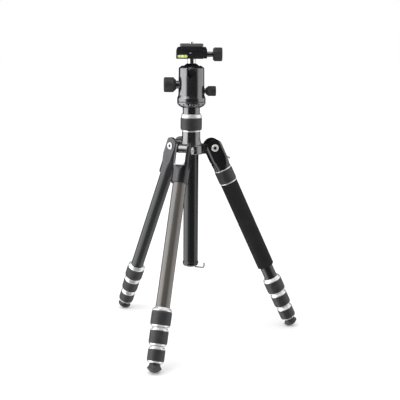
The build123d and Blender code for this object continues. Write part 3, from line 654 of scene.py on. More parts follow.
def carbon(name, base, place, contrast, coat):
    """Lacquered carbon tube, with the twill just visible under the coat; one set of tows is painted lighter
    than the other as a painted reflection.
    """
    material, tree, shader, vector = new_material(
        name, place, Coat_Weight=coat, Coat_Roughness=0.20, Metallic=0.25
    )
    weave = effect(tree, "Carbon twill", vector, radius=WEAVE_RADIUS, tow=0.0017)
    grain = effect(tree, "Grain", vector, scale=700.0, patch_scale=25.0)
    # Painted reflection: one set of tows painted lighter and the other darker, standing for the sheen that
    # turns with each tow's direction.
    tow_sheen = mix_colour(tree, weave["Tows"], shade(base, 1 - contrast), shade(base, 1 + contrast))
    fibres = mix_colour(tree, weave["Fibres"], shade(base, 0.7), shade(base, 1.3))
    mixed = mix_colour(tree, 0.45, tow_sheen, fibres)
    vary_colour(tree, shader, grain["Patches"], mixed, base)
    vary_roughness(tree, shader, weave["Tows"], 0.33, 0.37)
    bump(tree, shader, weave["Height"], 0.00002, 0.3)
    return material


def rubber(name, base, place, roughness, grain_scale):
    """Moulded rubber with a dry, slightly dusty skin."""
    material, tree, shader, vector = new_material(name, place, Specular_IOR_Level=0.4)
    grain = effect(tree, "Grain", vector, scale=grain_scale, patch_scale=120.0)
    vary_colour(tree, shader, grain["Patches"], shade(base, 0.8), shade(base, 1.5))
    vary_roughness(tree, shader, grain["Patches"], roughness - 0.08, roughness + 0.06)
    bump(tree, shader, grain["Height"], 0.00012, 0.6)
    return material


def knurled_rubber(name, base, place, roughness):
    """Rubber whose raised diamonds are painted paler and whose grooves are painted darker: painted light on
    the crests and painted shade in the grooves.
    """
    material, tree, shader, vector = new_material(name, place, Specular_IOR_Level=0.45)
    grain = effect(tree, "Grain", vector, scale=1600.0, patch_scale=120.0)
    crests = tree.nodes.new("ShaderNodeNewGeometry").outputs["Pointiness"]
    crest_light_mask = ramp(tree, crests, 0.44, 0.58)
    # Painted light and shade: the crests are painted lighter and the grooves painted darker, where shade
    # would fall.
    wear_and_painted_light = mix_colour(tree, grain["Patches"], shade(base, 2.2), shade(base, 3.2))
    vary_colour(tree, shader, crest_light_mask, shade(base, 0.4), wear_and_painted_light)
    vary_roughness(tree, shader, crest_light_mask, roughness + 0.15, roughness)
    bump(tree, shader, grain["Height"], 0.00004, 0.5)
    return material


def foam_skin(name, base, place):
    """Closed-cell foam, dull, with a fine open texture."""
    material, tree, shader, vector = new_material(name, place, Specular_IOR_Level=0.25)
    pores = effect(tree, "Foam pores", vector, scale=850.0)
    grain = effect(tree, "Grain", vector, scale=300.0, patch_scale=30.0)
    speckled = mix_colour(tree, pores["Pores"], shade(base, 0.6), shade(base, 1.4))
    vary_colour(tree, shader, grain["Patches"], speckled, base)
    vary_roughness(tree, shader, pores["Pores"], 0.98, 0.82)
    bump(tree, shader, pores["Height"], 0.00025, 0.7)
    return material


def ball_and_stem(name, steel):
    """Polished black ball, and the bright stem that leaves it."""
    lowest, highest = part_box("ball_stem")
    radius = (highest.x - lowest.x) / 2
    centre = Vector((0, 0, lowest.z + radius))
    material, tree, shader, vector = new_material(name, Matrix.Translation(centre), Coat_Weight=0.3)
    measure = tree.nodes.new("ShaderNodeVectorMath")
    measure.operation = "LENGTH"
    tree.links.new(vector, measure.inputs[0])
    stem = ramp(tree, measure.outputs["Value"], radius + 0.15 * MM, radius + 0.3 * MM)
    marks = effect(tree, "Turning marks", vector, pitch=0.0003)
    grain = effect(tree, "Grain", vector, scale=1500.0, patch_scale=60.0)
    black = mix_colour(tree, grain["Patches"], *BALL_BLACKS)
    bright = mix_colour(tree, marks["Streaks"], shade(steel, 0.85), steel)
    vary_colour(tree, shader, stem, black, bright)
    feed(tree, shader.inputs["Metallic"], stem)
    vary_roughness(tree, shader, grain["Patches"], 0.13, 0.18)
    bump(tree, shader, marks["Height"], 0.00001, 0.3)
    return material


def vial_glass(name, base, place):
    """Tinted acrylic filled with coloured spirit."""
    material, tree, shader, vector = new_material(
        name, place, Coat_Weight=1.0, Coat_Roughness=0.03, Roughness=0.25
    )
    clouds = effect(tree, "Grain", vector, scale=500.0, patch_scale=160.0)
    tinted = mix_colour(tree, clouds["Patches"], shade(base, 0.75), shade(base, 1.25))
    feed(tree, shader.inputs["Base Color"], tinted)
    bump(tree, shader, clouds["Height"], 0.00002, 0.2)
    return material


# finish: its maker, its colour in the settings or a plain one, a factor on that colour, and its values
RECIPES = {
    "castings": (paint, "castings", 1.0, {"roughness": 0.27, "wear": 0.5, "metallic": 0.90}),
    "shoulder": (paint, "shoulder", 1.0, {"roughness": 0.20, "wear": 0.5, "metallic": 0.95}),
    "clamp_black": (paint, "clamp", 1.0, {"roughness": 0.36, "wear": 0.35}),
    "plate_black": (paint, "clamp", 1.0, {"roughness": 0.34, "wear": 0.35}),
    # Painted shade: near black, for the floors of the bolt sockets.
    "socket_black": (paint, (0.004, 0.004, 0.004), 1.0, {"roughness": 0.60, "wear": 0.0}),
    "head_shell": (gunmetal, "head", 1.0, {}),
    "bright_aluminium": (machined, "aluminium", 1.0, {"roughness": 0.30, "metallic": 0.6}),
    "bright_steel": (machined, "steel", 1.0, {"roughness": 0.20}),
    "bolt_steel": (machined, "steel", 1.0, {"roughness": 0.28, "metallic": 0.4}),
    "wire_dark": (machined, (0.20, 0.20, 0.20), 1.0, {"roughness": 0.30}),
    "dark_steel": (machined, (0.22, 0.22, 0.22), 1.0, {"roughness": 0.24}),
    "carbon_dark": (carbon, "carbon_dark", 1.0, {"contrast": 0.30, "coat": 0.35}),
    "carbon_grey": (carbon, "carbon_grey", 1.0, {"contrast": 0.10, "coat": 1.0}),
    "grip_rubber": (knurled_rubber, "rubber", 1.0, {"roughness": 0.42}),
    "foot_rubber": (rubber, "rubber", 1.7, {"roughness": 0.55, "grain_scale": 900.0}),
    "knob_rubber": (rubber, "rubber", 1.2, {"roughness": 0.48, "grain_scale": 1800.0}),
    "plate_pad": (rubber, "pad", 1.0, {"roughness": 0.60, "grain_scale": 1300.0}),
    "nylon": (rubber, (0.55, 0.54, 0.50), 1.0, {"roughness": 0.45, "grain_scale": 1200.0}),
    "foam": (foam_skin, "foam", 1.0, {}),
    "vial": (vial_glass, "vial", 1.0, {}),
    # The bubble is a real part; its pale colour is a painted highlight, as the vial is opaque.
    "bubble": (vial_glass, (0.86, 0.90, 0.62), 1.0, {}),
}


def finish(kind, leg=None):
    """A finish by its name, made once, and turned to run along a leg where it has a direction."""
    name = f"{kind}_finish" if leg is None else f"{kind}_finish_leg_{leg}"
    place = UPRIGHT if leg is None else LEG_PLACES[leg]
    return bpy.data.materials.get(name) or make_finish(kind, name, place)


def make_finish(kind, name, place):
    """Builds one finish from its recipe and the colours in the settings."""
    colours = bpy.context.scene.tripod.finishes
    if kind == "ball_finish":
        return ball_and_stem(name, tuple(colours.steel))
    maker, base, factor, values = RECIPES[kind]
    if isinstance(base, str):
        base = tuple(getattr(colours, base))
    # The plate's flange is painted lighter above a height: a painted highlight.
    if kind == "plate_black":
        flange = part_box("quick_release_plate")[1].z - FLANGE_DEPTH
        values = {**values, "top": (tuple(colours.plate), flange)}
    return maker(name, shade(base, factor), place, **values)


# ---- operators ----
def dress(node, material):
    """Assigns a material to a CAD node's own slots."""
    mesh = NODES[node].data
    if not mesh.materials:
        mesh.materials.append(material)
    for index in range(len(mesh.materials)):
        mesh.materials[index] = material


class TRIPOD_OT_stage(Operator):
    """Adds the camera, the pale floor and the soft light"""

    bl_idname = "tripod.stage"
    bl_label = "Stage"

    def execute(self, context):
        settings = context.scene.tripod.stage
        self.add_camera(context, settings)
        self.add_floor(settings)
        self.add_room(context, settings)
        self.add_top_light()
        context.scene.view_settings.view_transform = "Standard"
        return {"FINISHED"}

    def add_camera(self, context, settings):
        """The camera, level with the top of the head and tilted down."""
        data = bpy.data.cameras.new("Camera")
        data.lens = settings.lens
        data.sensor_width = 36.0
        data.shift_y = settings.shift
        data.clip_end = 100.0
        camera = bpy.data.objects.new("Camera", data)
        context.scene.collection.objects.link(camera)
        camera.location = (0, -settings.distance, settings.height)
        aim = Euler((pi / 2 - settings.pitch, 0, -settings.yaw)).to_matrix()
        camera.rotation_euler = (aim @ Matrix.Rotation(settings.roll, 3, "Z")).to_euler()
        context.scene.camera = camera

    def add_floor(self, settings):
        """A large pale floor."""
        bpy.ops.object.select_all(action="DESELECT")
        bpy.ops.mesh.primitive_plane_add(size=settings.floor_size)
        floor = rename(bpy.context.object, "floor")
        glow = {"Emission_Color": (1, 1, 1, 1), "Emission_Strength": 0.12}
        material, tree, shader, vector = new_material(
            "floor_paper", Specular_IOR_Level=0.1, Roughness=0.9, **glow
        )
        grain = effect(tree, "Grain", vector, scale=300.0, patch_scale=2.0)
        pale = tuple(settings.floor_colour)
        vary_colour(tree, shader, grain["Patches"], shade(pale, 0.99), pale)
        floor.data.materials.append(material)
        floor.visible_glossy = False

    def add_room(self, context, settings):
        """Even white all round, with two softboxes and a pale ground that only reflections show."""
        world = bpy.data.worlds.new("Room")
        context.scene.world = world
        world.use_nodes = True
        tree = world.node_tree
        tree.nodes.clear()
        direction = tree.nodes.new("ShaderNodeTexCoord").outputs["Generated"]
        x, y, z = separate(tree, direction)
        angle = math(tree, "MULTIPLY", math(tree, "ARCTAN2", x, math(tree, "MULTIPLY", y, -1.0)), 180 / pi)

        def softbox(near_edge, far_edge, strength):
            """One panel, between two soft edges that are each given as two angles in degrees."""
            shape = math(tree, "MULTIPLY", ramp(tree, angle, *near_edge), ramp(tree, angle, *far_edge))
            return math(tree, "MULTIPLY", shape, strength)

        left = softbox((-40.0, -54.0), (-128.0, -112.0), settings.left_panel)
        right = softbox((52.0, 66.0), (142.0, 124.0), settings.right_panel)
        panels = math(tree, "ADD", left, right)
        overhead = math(tree, "MULTIPLY", ramp(tree, z, 0.55, 0.85), 0.9)
        ground = math(tree, "MULTIPLY", ramp(tree, z, -0.45, -0.85), 0.5)
        ends = math(tree, "MAXIMUM", overhead, ground)
        dim_walls = 0.03
        seen = math(tree, "MAXIMUM", math(tree, "ADD", panels, dim_walls), ends)
        path = tree.nodes.new("ShaderNodeLightPath")
        glossy = path.outputs["Is Glossy Ray"]
        plain = math(tree, "MULTIPLY", math(tree, "SUBTRACT", 1.0, glossy), settings.room_light)
        strength = math(tree, "ADD", math(tree, "MULTIPLY", glossy, seen), plain)
        background = tree.nodes.new("ShaderNodeBackground")
        background.inputs["Color"].default_value = (1, 1, 1, 1)
        tree.links.new(strength, background.inputs["Strength"])
        output = tree.nodes.new("ShaderNodeOutputWorld")
        tree.links.new(background.outputs[0], output.inputs["Surface"])

    def add_top_light(self):
        """A broad soft light above and to the left."""
        data = bpy.data.lights.new("Top light", "AREA")
        data.size = 1.6
        data.energy = 12.0
        light = bpy.data.objects.new("Top light", data)
        bpy.context.scene.collection.objects.link(light)
        light.location = (-0.9, -0.7, 1.9)
        light.rotation_euler = Vector((0.9, 0.7, -1.7)).to_track_quat("-Z", "Y").to_euler()


class TRIPOD_OT_finishes(Operator):
    """Gives the machined and moulded pieces that keep their shape their finishes"""

    bl_idname = "tripod.finishes"
    bl_label = "Finishes"

    def execute(self, context):
        upright = {
            "column_platform": "head_shell",
            "column_lock_collar": "bright_aluminium",
            "camera_screw": "bright_steel",
            "hinge_bolts": "bolt_steel",
            "column_tube": "carbon_dark",
            "column_cap": "castings",
            "ball_stem": "ball_finish",
            "ball_cup": "nylon",
            "hook": "wire_dark",
        }
        for node, kind in upright.items():
            dress(node, finish(kind))
        for leg in LEGS:
            tube = "carbon_grey" if leg == FRONT_LEG else "carbon_dark"
            for section in (1, 2, 3, 4):
                dress(f"leg_{leg}_tube_{section}", finish(tube, leg))
            for lock in LOCKS:
                dress(f"leg_{leg}_lock_{lock}", finish("bright_aluminium", leg))
        return {"FINISHED"}


def sleeve_outline(radius, inner, bottom, top, edge, rows):
    """A sleeve's outline, with its outer wall divided into rows."""
    lower = corner(radius - edge, bottom + edge, edge, -90, 0)
    upper = corner(radius - edge, top - edge, edge, 0, 90)
    wall = run_of(radius, bottom + edge, top - edge, rows)
    return [(inner, bottom)] + lower + wall + upper + [(inner, top)]


def knurled_sleeve(name, radius, inner, bottom, top, settings):
    """A rubber sleeve with raised diamonds all over its outer wall."""
    half = settings.knurl_pitch / 2
    columns = 2 * round(2 * pi * radius / settings.knurl_pitch)
    rows = round((top - bottom - 2 * settings.edge) / half)
    core = radius - settings.knurl_depth
    piece = turned(name, sleeve_outline(core, inner, bottom, top, settings.edge, rows), columns)
    row_height = (top - bottom - 2 * settings.edge) / rows

    def on_crossing(point):
        if hypot(point.x, point.y) < core - settings.edge / 10:
            return False
        row = round((point.z - bottom - settings.edge) / row_height)
        column = round(atan2(point.y, point.x) / (2 * pi / columns))
        return 0 < row < rows and (row + column) % 2 == 0

    raise_vertices(piece, on_crossing, settings.knurl_depth)
    smooth(piece, radians(12))
    return piece


class TRIPOD_OT_leg_grips(Operator):
    """Models the knurled rubber grips of the leg locks"""

    bl_idname = "tripod.leg_grips"
    bl_label = "Leg grips"

    def execute(self, context):
        settings = context.scene.tripod.grips
        for lock in LOCKS:
            radius, bottom, top = extent(f"leg_1_grip_{lock}", LEG_PLACES[1])
            top += settings.cover if lock > 1 else 0
            master = knurled_sleeve(f"grip_{lock}", radius, radius - settings.wall, bottom, top, settings)
            for leg in LEGS:
                node = f"leg_{leg}_grip_{lock}"
                piece = moved_copy(master, f"leg_{leg}_knurled_grip_{lock}", LEG_PLACES[leg])
                material = finish("grip_rubber", leg)
                finish_piece(piece, f"leg_{leg}_lock_{lock}", "grip_rubber", material, node)
            bpy.data.objects.remove(master)
        return {"FINISHED"}


class TRIPOD_OT_column_grip(Operator):
    """Models the finely knurled grip of the column lock"""

    bl_idname = "tripod.column_grip"
    bl_label = "Column grip"

    def execute(self, context):
        settings = context.scene.tripod.grips
        radius, bottom, top = extent("column_lock_grip", UPRIGHT)
        piece = knurled_sleeve("column_grip", radius, radius - settings.wall, bottom, top, settings)
        finish_piece(piece, "column_lock", "grip_rubber", finish("grip_rubber"), "column_lock_grip")
        return {"FINISHED"}


class TRIPOD_OT_foam_sleeve(Operator):
    """Models the foam sleeve of the detachable leg"""

    bl_idname = "tripod.foam_sleeve"
    bl_label = "Foam sleeve"

    def execute(self, context):
        place = LEG_PLACES[FOAM_LEG]
        radius, bottom, top = extent("foam_grip", place)
        tube_radius = extent(f"leg_{FOAM_LEG}_tube_1", place)[0]
        rounding = 0.55
        edge = (radius - tube_radius) * rounding
        outline = sleeve_outline(radius, tube_radius, bottom, top, edge, rows=60)
        piece = settle(turned("foam_sleeve", outline, steps=64), place)
        self.dent(piece)
        smooth(piece, radians(60))
        finish_piece(piece, f"leg_{FOAM_LEG}", "foam", finish("foam", FOAM_LEG), "foam_grip")
        return {"FINISHED"}

    def dent(self, piece):
        """Very shallow unevenness, as foam has."""
        clouds = bpy.data.textures.new("Foam dents", "CLOUDS")
        clouds.noise_scale = 18 * MM
        select_only(piece)
        displace = piece.modifiers.new("Dents", "DISPLACE")
        displace.texture = clouds
        displace.strength = 0.35 * MM
        displace.mid_level = 1.0
        bpy.ops.object.modifier_apply(modifier=displace.name)


class TRIPOD_OT_coupling(Operator):
    """Models the detachable leg's coupling: two bright rims and a knurled sleeve"""

    bl_idname = "tripod.coupling"
    bl_label = "Coupling"

    def execute(self, context):
        settings = context.scene.tripod.grips
        place = LEG_PLACES[FOAM_LEG]
        radius, bottom, top = extent("monopod_collar", place)
        rim = radius - 0.8 * MM
        seat = rim - 2 * MM
        bore = extent(f"leg_{FOAM_LEG}_tube_1", place)[0] + 0.1 * MM
        rim_height = 1.8 * MM
        low, high = bottom + rim_height, top - rim_height
        edge = 0.4 * MM
        outline = [(bore, bottom)] + corner(rim - edge, bottom + edge, edge, -90, 0)
        outline += [(rim, low), (seat, low), (seat, high), (rim, high)]
        outline += corner(rim - edge, top - edge, edge, 0, 90) + [(bore, top)]
        core = settle(turned("coupling_rims", outline, steps=96), place)
        smooth(core)
        bright = finish("bright_aluminium", FOAM_LEG)
        finish_piece(core, "monopod_collar", "bright_aluminium", bright, "monopod_collar")
        sleeve = settle(knurled_sleeve("coupling_sleeve", radius, seat, low, high, settings), place)
        finish_piece(sleeve, "monopod_collar", "grip_rubber", finish("grip_rubber", FOAM_LEG))
        return {"FINISHED"}


class TRIPOD_OT_feet(Operator):
    """Models the flared rubber feet with their grooved necks and rounded soles"""

    bl_idname = "tripod.feet"
    bl_label = "Feet"

    def execute(self, context):
        radius, bottom, top = extent("leg_1_foot", LEG_PLACES[1])
        tube = extent("leg_1_tube_4", LEG_PLACES[1])[0]
        master = turned("foot", self.outline(radius, tube, bottom, top), steps=72, closed=False)
        smooth(master, radians(28))
        for leg in LEGS:
            piece = moved_copy(master, f"leg_{leg}_rubber_foot", LEG_PLACES[leg])
            material = finish("foot_rubber", leg)
            finish_piece(piece, f"leg_{leg}_section_4", "foot_rubber", material, f"leg_{leg}_foot")
        bpy.data.objects.remove(master)
        return {"FINISHED"}

    def outline(self, radius, tube, bottom, top):
        """From the middle of the domed sole, round the rim, up the cone and the neck to the socket."""
        dome_radius = 15 * MM
        dome_points = 8
        dome_reach = radius - 1.2 * MM
        points = []
        for index in range(dome_points + 1):
            across = dome_reach * index / dome_points
            points.append((across, bottom + dome_radius - (dome_radius**2 - across**2) ** 0.5))
        rim_height = points[-1][1]
        points += [(radius - 0.3 * MM, rim_height + 0.7 * MM), (radius, rim_height + 1.6 * MM)]
        neck = tube + 1.9 * MM
        cone_end = top - 4.2 * MM
        points += [(neck + 0.3 * MM, cone_end)]
        groove_half, groove_depth = 0.4 * MM, 0.35 * MM
        for below_top in (3.2, 1.6):
            at = top - below_top * MM
            points += [(neck, at - groove_half), (neck - groove_depth, at), (neck, at + groove_half)]
        lip = 0.6 * MM
        socket_floor = top - 8 * MM
        points += [(neck, top - lip), (neck - lip, top), (tube, top)]
        points += [(tube, socket_floor), (0.0, socket_floor)]
        return points


def fluted_knob(name, radius, length, neck, shoulder, flutes, settings, spindle):
    """A knob along +Z from its neck at Z = 0, with rounded flutes, a dished end and its spindle."""
    edge = settings.edge
    spindle_radius, spindle_depth = spindle
    outline = [(0.0, -spindle_depth), (spindle_radius, -spindle_depth), (spindle_radius, 0.0), (neck, 0.0)]
    outline += [(radius - edge * 0.8, shoulder - edge * 0.3)]
    outline += corner(radius - edge * 0.6, shoulder + edge * 0.5, edge * 0.6, -50, 0, 3)
    outline += run_of(radius, shoulder + edge * 0.5, length - edge, 6)
    outline += corner(radius - edge, length - edge, edge, 0, 90, 5)
    dish = radius * 0.72
    outline += [(dish, length), (dish - 0.5 * MM, length - 0.7 * MM), (dish - 1.5 * MM, length - 0.8 * MM)]
    outline += [(dish - 2.2 * MM, length - 0.5 * MM), (0.0, length - 0.4 * MM)]
    per_flute = 6
    columns = flutes * per_flute
    piece = turned(name, outline, columns, closed=False)
    low = shoulder + edge * 0.4
    high = length - edge * 0.6

    def in_flute(point):
        if not low < point.z < high or hypot(point.x, point.y) < radius - edge * 0.45:
            return False
        column = round(atan2(point.y, point.x) / (2 * pi / columns)) % per_flute
        return column in (0, 1, per_flute - 1)

    raise_vertices(piece, in_flute, -settings.flute_depth)
    smooth(piece, radians(40))
    return piece


class TRIPOD_OT_knobs(Operator):
    """Models the three fluted knobs of the head"""

    bl_idname = "tripod.knobs"
    bl_label = "Knobs"

    def execute(self, context):
        settings = context.scene.tripod.knobs
        large, small = settings.large_flutes, settings.small_flutes
        # node, side of the head, length, neck radius, shoulder, flutes, spindle radius
        rows = (
            ("lock_knob", -1, settings.lock_length, settings.lock_neck, 4.5 * MM, large, 4.0 * MM),
            ("pan_knob", 1, settings.pan_length, settings.pan_neck, 3.4 * MM, small, 3.0 * MM),
            ("clamp_knob", 1, settings.clamp_length, settings.clamp_neck, 1.8 * MM, large, 4.0 * MM),
        )
        for node, side, knob_length, neck, shoulder, flutes, spindle in rows:
            lowest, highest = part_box(node)
            radius = (highest.z - lowest.z) / 2
            centre = (highest + lowest) / 2
            start = max(side * highest.x, side * lowest.x) - knob_length
            inner = min(side * highest.x, side * lowest.x)
            place = Matrix.Translation((side * start, centre.y, centre.z))
            place = place @ Matrix.Rotation(side * pi / 2, 4, "Y")
            name = f"fluted_{node}"
            spindle_size = (spindle, start - inner)
            piece = fluted_knob(
                name, radius, knob_length, neck, shoulder, flutes, settings, spindle_size
            )
            settle(piece, place)
            finish_piece(piece, node, "knob_rubber", finish("knob_rubber"), node)
            if node == "clamp_knob":
                self.add_collar(place, start)
        return {"FINISHED"}

    def add_collar(self, place, start):
        """The bright stepped collar between the clamp's jaw and its knob."""
        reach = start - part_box("clamp_jaw")[1].x
        gap = 0.3 * MM
        radius = 4.9 * MM
        groove = radius - 0.6 * MM
        edge = 0.5 * MM
        overlap = 0.2 * MM
        outline = [(0.0, -reach + gap), (radius - edge, -reach + gap), (radius, -reach + gap + edge)]
        outline += [(radius, -2.6 * MM), (groove, -2.2 * MM), (groove, -1.6 * MM)]
        outline += [(radius, -1.2 * MM), (radius, overlap), (0.0, overlap)]
        collar = settle(turned("clamp_knob_collar", outline, steps=64, closed=False), place)
        smooth(collar)
        finish_piece(collar, "clamp_knob", "bright_steel", finish("dark_steel"))


class TRIPOD_OT_castings(Operator):
    """Rounds the edges of the shoulder, the leg tops and the latches"""

    bl_idname = "tripod.castings"
    bl_label = "Castings"

    def execute(self, context):
        settings = context.scene.tripod.trim
        spider = eased_copy("spider", "shoulder", settings.casting_edge)
        finish_piece(spider, "spider", "castings", finish("shoulder"), "spider")
        for leg in LEGS:
            top = eased_copy(f"leg_{leg}_top", f"leg_{leg}_fork", settings.casting_edge)
            finish_piece(top, f"leg_{leg}", "castings", finish("castings"), f"leg_{leg}_top")
            latch = eased_copy(f"leg_{leg}_latch", f"leg_{leg}_pull_latch", settings.machined_edge)
            material = finish("bright_aluminium", leg)
            finish_piece(latch, f"leg_{leg}_latch", "bright_aluminium", material, f"leg_{leg}_latch")
        return {"FINISHED"}


class TRIPOD_OT_bolt_sockets(Operator):
    """Models dark discs on the floors of the sockets in both ends of the hinge bolts: painted shade in the
    sockets
    """

    bl_idname = "tripod.bolt_sockets"
    bl_label = "Bolt sockets"

    def execute(self, context):
        reach = self.bolt_reach()
        depth = context.scene.tripod.trim.socket_depth
        bpy.ops.object.select_all(action="DESELECT")
        # Each disc is painted shade: a near-black floor set inside a socket, where shade would fall.
        bpy.ops.mesh.primitive_cylinder_add(vertices=6, radius=3.3 * MM, depth=0.4 * MM)
        master = rename(bpy.context.object, "bolt_socket")
        soften(master, 0.05 * MM, 1)
        for leg in LEGS:
            for side, end in ((1, "head"), (-1, "nut")):
                inside = Matrix.Translation((0, side * (reach - depth), 0))
                inside = inside @ Matrix.Rotation(-side * pi / 2, 4, "X")
                piece = moved_copy(master, f"leg_{leg}_bolt_{end}_socket", LEG_PLACES[leg] @ inside)
                finish_piece(piece, "spider", None, finish("socket_black"))
        bpy.data.objects.remove(master)
        return {"FINISHED"}

    def bolt_reach(self):
        """Half the length of a hinge bolt, over its heads."""
        inverse = LEG_PLACES[FRONT_LEG].inverted()
        points = [inverse @ vertex.co for vertex in NODES["hinge_bolts"].data.vertices]
        near_axis = 8 * MM
        return max(point.y for point in points if hypot(point.x, point.z) < near_axis)


class TRIPOD_OT_head(Operator):
    """Rounds the edges of the head's shell, base, clamp and plate"""

    bl_idname = "tripod.head"
    bl_label = "Head"

    def execute(self, context):
        width = context.scene.tripod.trim.machined_edge
        # node, the piece's name, its body, its slot and its finish
        rows = (
            ("housing", "head_housing", "housing", "head_shell", "head_shell"),
            ("pan_base", "scalloped_base", "column", "head_shell", "head_shell"),
            ("clamp_body", "clamp_shell", "clamp", "clamp_black", "clamp_black"),
            ("clamp_jaw", "clamp_moving_jaw", "clamp_jaw", "clamp_black", "clamp_black"),
            ("quick_release_plate", "dovetail_plate", "plate", "clamp_black", "plate_black"),
        )
        for node, name, body, slot, kind in rows:
            piece = eased_copy(node, name, width)
            finish_piece(piece, body, slot, finish(kind), node)
        return {"FINISHED"}


class TRIPOD_OT_level(Operator):
    """Models the spirit level in the clamp: vial, bubble and two reading lines"""

    bl_idname = "tripod.level"
    bl_label = "Level"

    def execute(self, context):
        settings = context.scene.tripod.trim
        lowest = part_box("clamp_body")[0]
        radius = settings.vial_radius
        half = settings.vial_length / 2
        from_end, proud, above_foot = 11.6 * MM, 0.4 * MM, 4.4 * MM
        centre = Vector((lowest.x + from_end, lowest.y + radius - proud, lowest.z + above_foot))
        place = Matrix.Translation(centre) @ Matrix.Rotation(pi / 2, 4, "Y")
        vial = settle(self.capsule("level_vial", radius, half), place)
        finish_piece(vial, "clamp", None, finish("vial"))
        # The bubble is real and set just in front of the vial; its pale colour is a painted highlight.
        bubble_radius, bubble_half = 1.5 * MM, 2.4 * MM
        to_surface = Matrix.Translation((0, -1.9 * MM, 0.5 * MM))
        bubble = settle(self.capsule("level_bubble", bubble_radius, bubble_half), to_surface @ place)
        finish_piece(bubble, "clamp", None, finish("bubble"))
        from_middle = 3.2 * MM
        for side in (-1, 1):
            line = self.reading_line(f"level_line_{side + 2}", radius, side * from_middle)
            settle(line, place)
            finish_piece(line, "clamp", "knob_rubber", finish("knob_rubber"))
        return {"FINISHED"}

    def capsule(self, name, radius, half):
        """A round-ended rod along Z, centred on Z = 0."""
        outline = corner(0, -half + radius, radius, -90, 0, 8)
        outline += run_of(radius, -half + radius, half - radius, 6)
        outline += corner(0, half - radius, radius, 0, 90, 8)
        piece = turned(name, outline, steps=48, closed=False)
        smooth(piece, radians(60))
        return piece

    def reading_line(self, name, radius, height):
        """A thin ring round the vial."""
        half = 0.18 * MM
        inner = radius - 0.1 * MM
        outer = radius + 0.06 * MM
        low, high = height - half, height + half
        outline = [(inner, low), (outer, low), (outer, high), (inner, high)]
        return turned(name, outline, steps=48)


class TRIPOD_OT_pads(Operator):
    """Models the two ribbed rubber pads on the plate"""

    bl_idname = "tripod.pads"
    bl_label = "Pads"

    def execute(self, context):
        settings = context.scene.tripod.trim
        lowest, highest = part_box("quick_release_plate")
        width = highest.x - lowest.x - 2 * settings.pad_margin
        depth = (highest.y - lowest.y - settings.pad_gap) / 2 - settings.pad_margin
        sunk = 0.4 * MM
        middle = highest.z + (settings.pad_height - sunk) / 2
        master = self.pad(width, depth, settings.pad_height + sunk)
        for side, name in ((-1, "front_pad"), (1, "back_pad")):
            away = side * (settings.pad_gap + depth) / 2
            piece = moved_copy(master, name, Matrix.Translation((0, away, middle)))
            finish_piece(piece, "plate", "knob_rubber", finish("plate_pad"))
        bpy.data.objects.remove(master)
        return {"FINISHED"}

    def pad(self, width, depth, height):
        """A slab centred on the origin, with rounded corners and shallow grooves along X."""
        rows, rows_per_groove = 19, 3
        bpy.ops.object.select_all(action="DESELECT")
        bpy.ops.mesh.primitive_grid_add(x_subdivisions=1, y_subdivisions=rows, size=1)
        piece = rename(bpy.context.object, "pad")
        piece.data.transform(Matrix.Diagonal((width, depth, 1, 1)))
        piece.data.transform(Matrix.Translation((0, 0, height / 2)))
        bpy.ops.object.mode_set(mode="EDIT")
        bpy.ops.mesh.select_all(action="SELECT")
        bpy.ops.mesh.extrude_region_move(TRANSFORM_OT_translate={"value": (0, 0, -height)})
        close_mesh()
        bpy.ops.object.mode_set(mode="OBJECT")
        row = depth / rows
        groove = 0.25 * MM

        def in_groove(point):
            line = round((point.y + depth / 2) / row)
            return point.z > 0 and 0 < line < rows and line % rows_per_groove == 0

        choose_vertices(piece, in_groove)
        bpy.ops.transform.translate(value=(0, 0, -groove))
        bpy.ops.object.mode_set(mode="OBJECT")
        soften(piece, 0.15 * MM, 1)
        smooth(piece)
        return piece


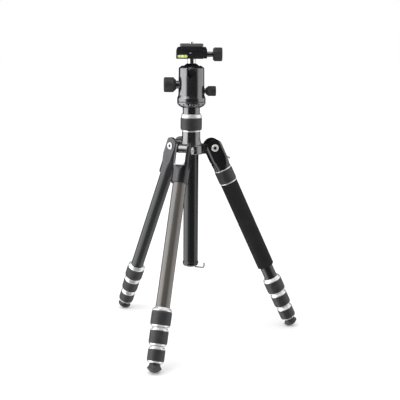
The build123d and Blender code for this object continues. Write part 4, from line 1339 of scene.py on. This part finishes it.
class TRIPOD_OT_set_screws(Operator):
    """Models the small socket set screws in the clamp's two ends"""

    bl_idname = "tripod.set_screws"
    bl_label = "Set screws"

    def execute(self, context):
        radius = context.scene.tripod.trim.screw_radius
        lowest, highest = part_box("clamp_body")
        level = lowest.z + 11.0 * MM
        across = -1.4 * MM
        socket = radius * 0.5
        sunk, face = -1.0 * MM, 0.4 * MM
        outline = [(0.0, sunk), (radius, sunk), (radius, 0.15 * MM), (radius - 0.25 * MM, face)]
        outline += [(socket, face), (socket, -0.4 * MM), (0.0, -0.5 * MM)]
        master = turned("set_screw", outline, steps=36, closed=False)
        smooth(master)
        for side, name, wall in ((1, "front_set_screw", lowest.y), (-1, "back_set_screw", highest.y)):
            place = Matrix.Translation((across, wall, level)) @ Matrix.Rotation(side * pi / 2, 4, "X")
            piece = moved_copy(master, name, place)
            finish_piece(piece, "clamp", "bright_steel", finish("bright_steel"))
        bpy.data.objects.remove(master)
        return {"FINISHED"}


class TRIPOD_PT_panel(Panel):
    """Lists the tripod's steps in the sidebar"""

    bl_idname = "TRIPOD_PT_panel"
    bl_label = "Tripod"
    bl_space_type = "VIEW_3D"
    bl_region_type = "UI"
    bl_category = "Tripod"

    def draw(self, context):
        for operator in OPERATORS:
            self.layout.operator(operator.bl_idname)
        settings = context.scene.tripod
        for part in (settings.stage, settings.grips, settings.knobs, settings.trim, settings.finishes):
            column = self.layout.column()
            for name in part.__annotations__:
                column.prop(part, name)


SETTINGS = (StageSettings, GripSettings, KnobSettings, TrimSettings, FinishSettings, TripodSettings)
OPERATORS = (
    TRIPOD_OT_stage,
    TRIPOD_OT_finishes,
    TRIPOD_OT_leg_grips,
    TRIPOD_OT_column_grip,
    TRIPOD_OT_foam_sleeve,
    TRIPOD_OT_coupling,
    TRIPOD_OT_feet,
    TRIPOD_OT_knobs,
    TRIPOD_OT_castings,
    TRIPOD_OT_bolt_sockets,
    TRIPOD_OT_head,
    TRIPOD_OT_level,
    TRIPOD_OT_pads,
    TRIPOD_OT_set_screws,
)


def register():
    """Registers the settings, the operators and the panel."""
    for kind in SETTINGS + OPERATORS + (TRIPOD_PT_panel,):
        bpy.utils.register_class(kind)
    bpy.types.Scene.tripod = PointerProperty(type=TripodSettings)


def unregister():
    """Removes everything that register added."""
    del bpy.types.Scene.tripod
    for kind in reversed(SETTINGS + OPERATORS + (TRIPOD_PT_panel,)):
        bpy.utils.unregister_class(kind)


def main():
    """Builds the tripod's looks around the frame."""
    register()
    for operator in OPERATORS:
        family, step = operator.bl_idname.split(".")
        getattr(getattr(bpy.ops, family), step)()


if __name__ == "__main__":
    main()
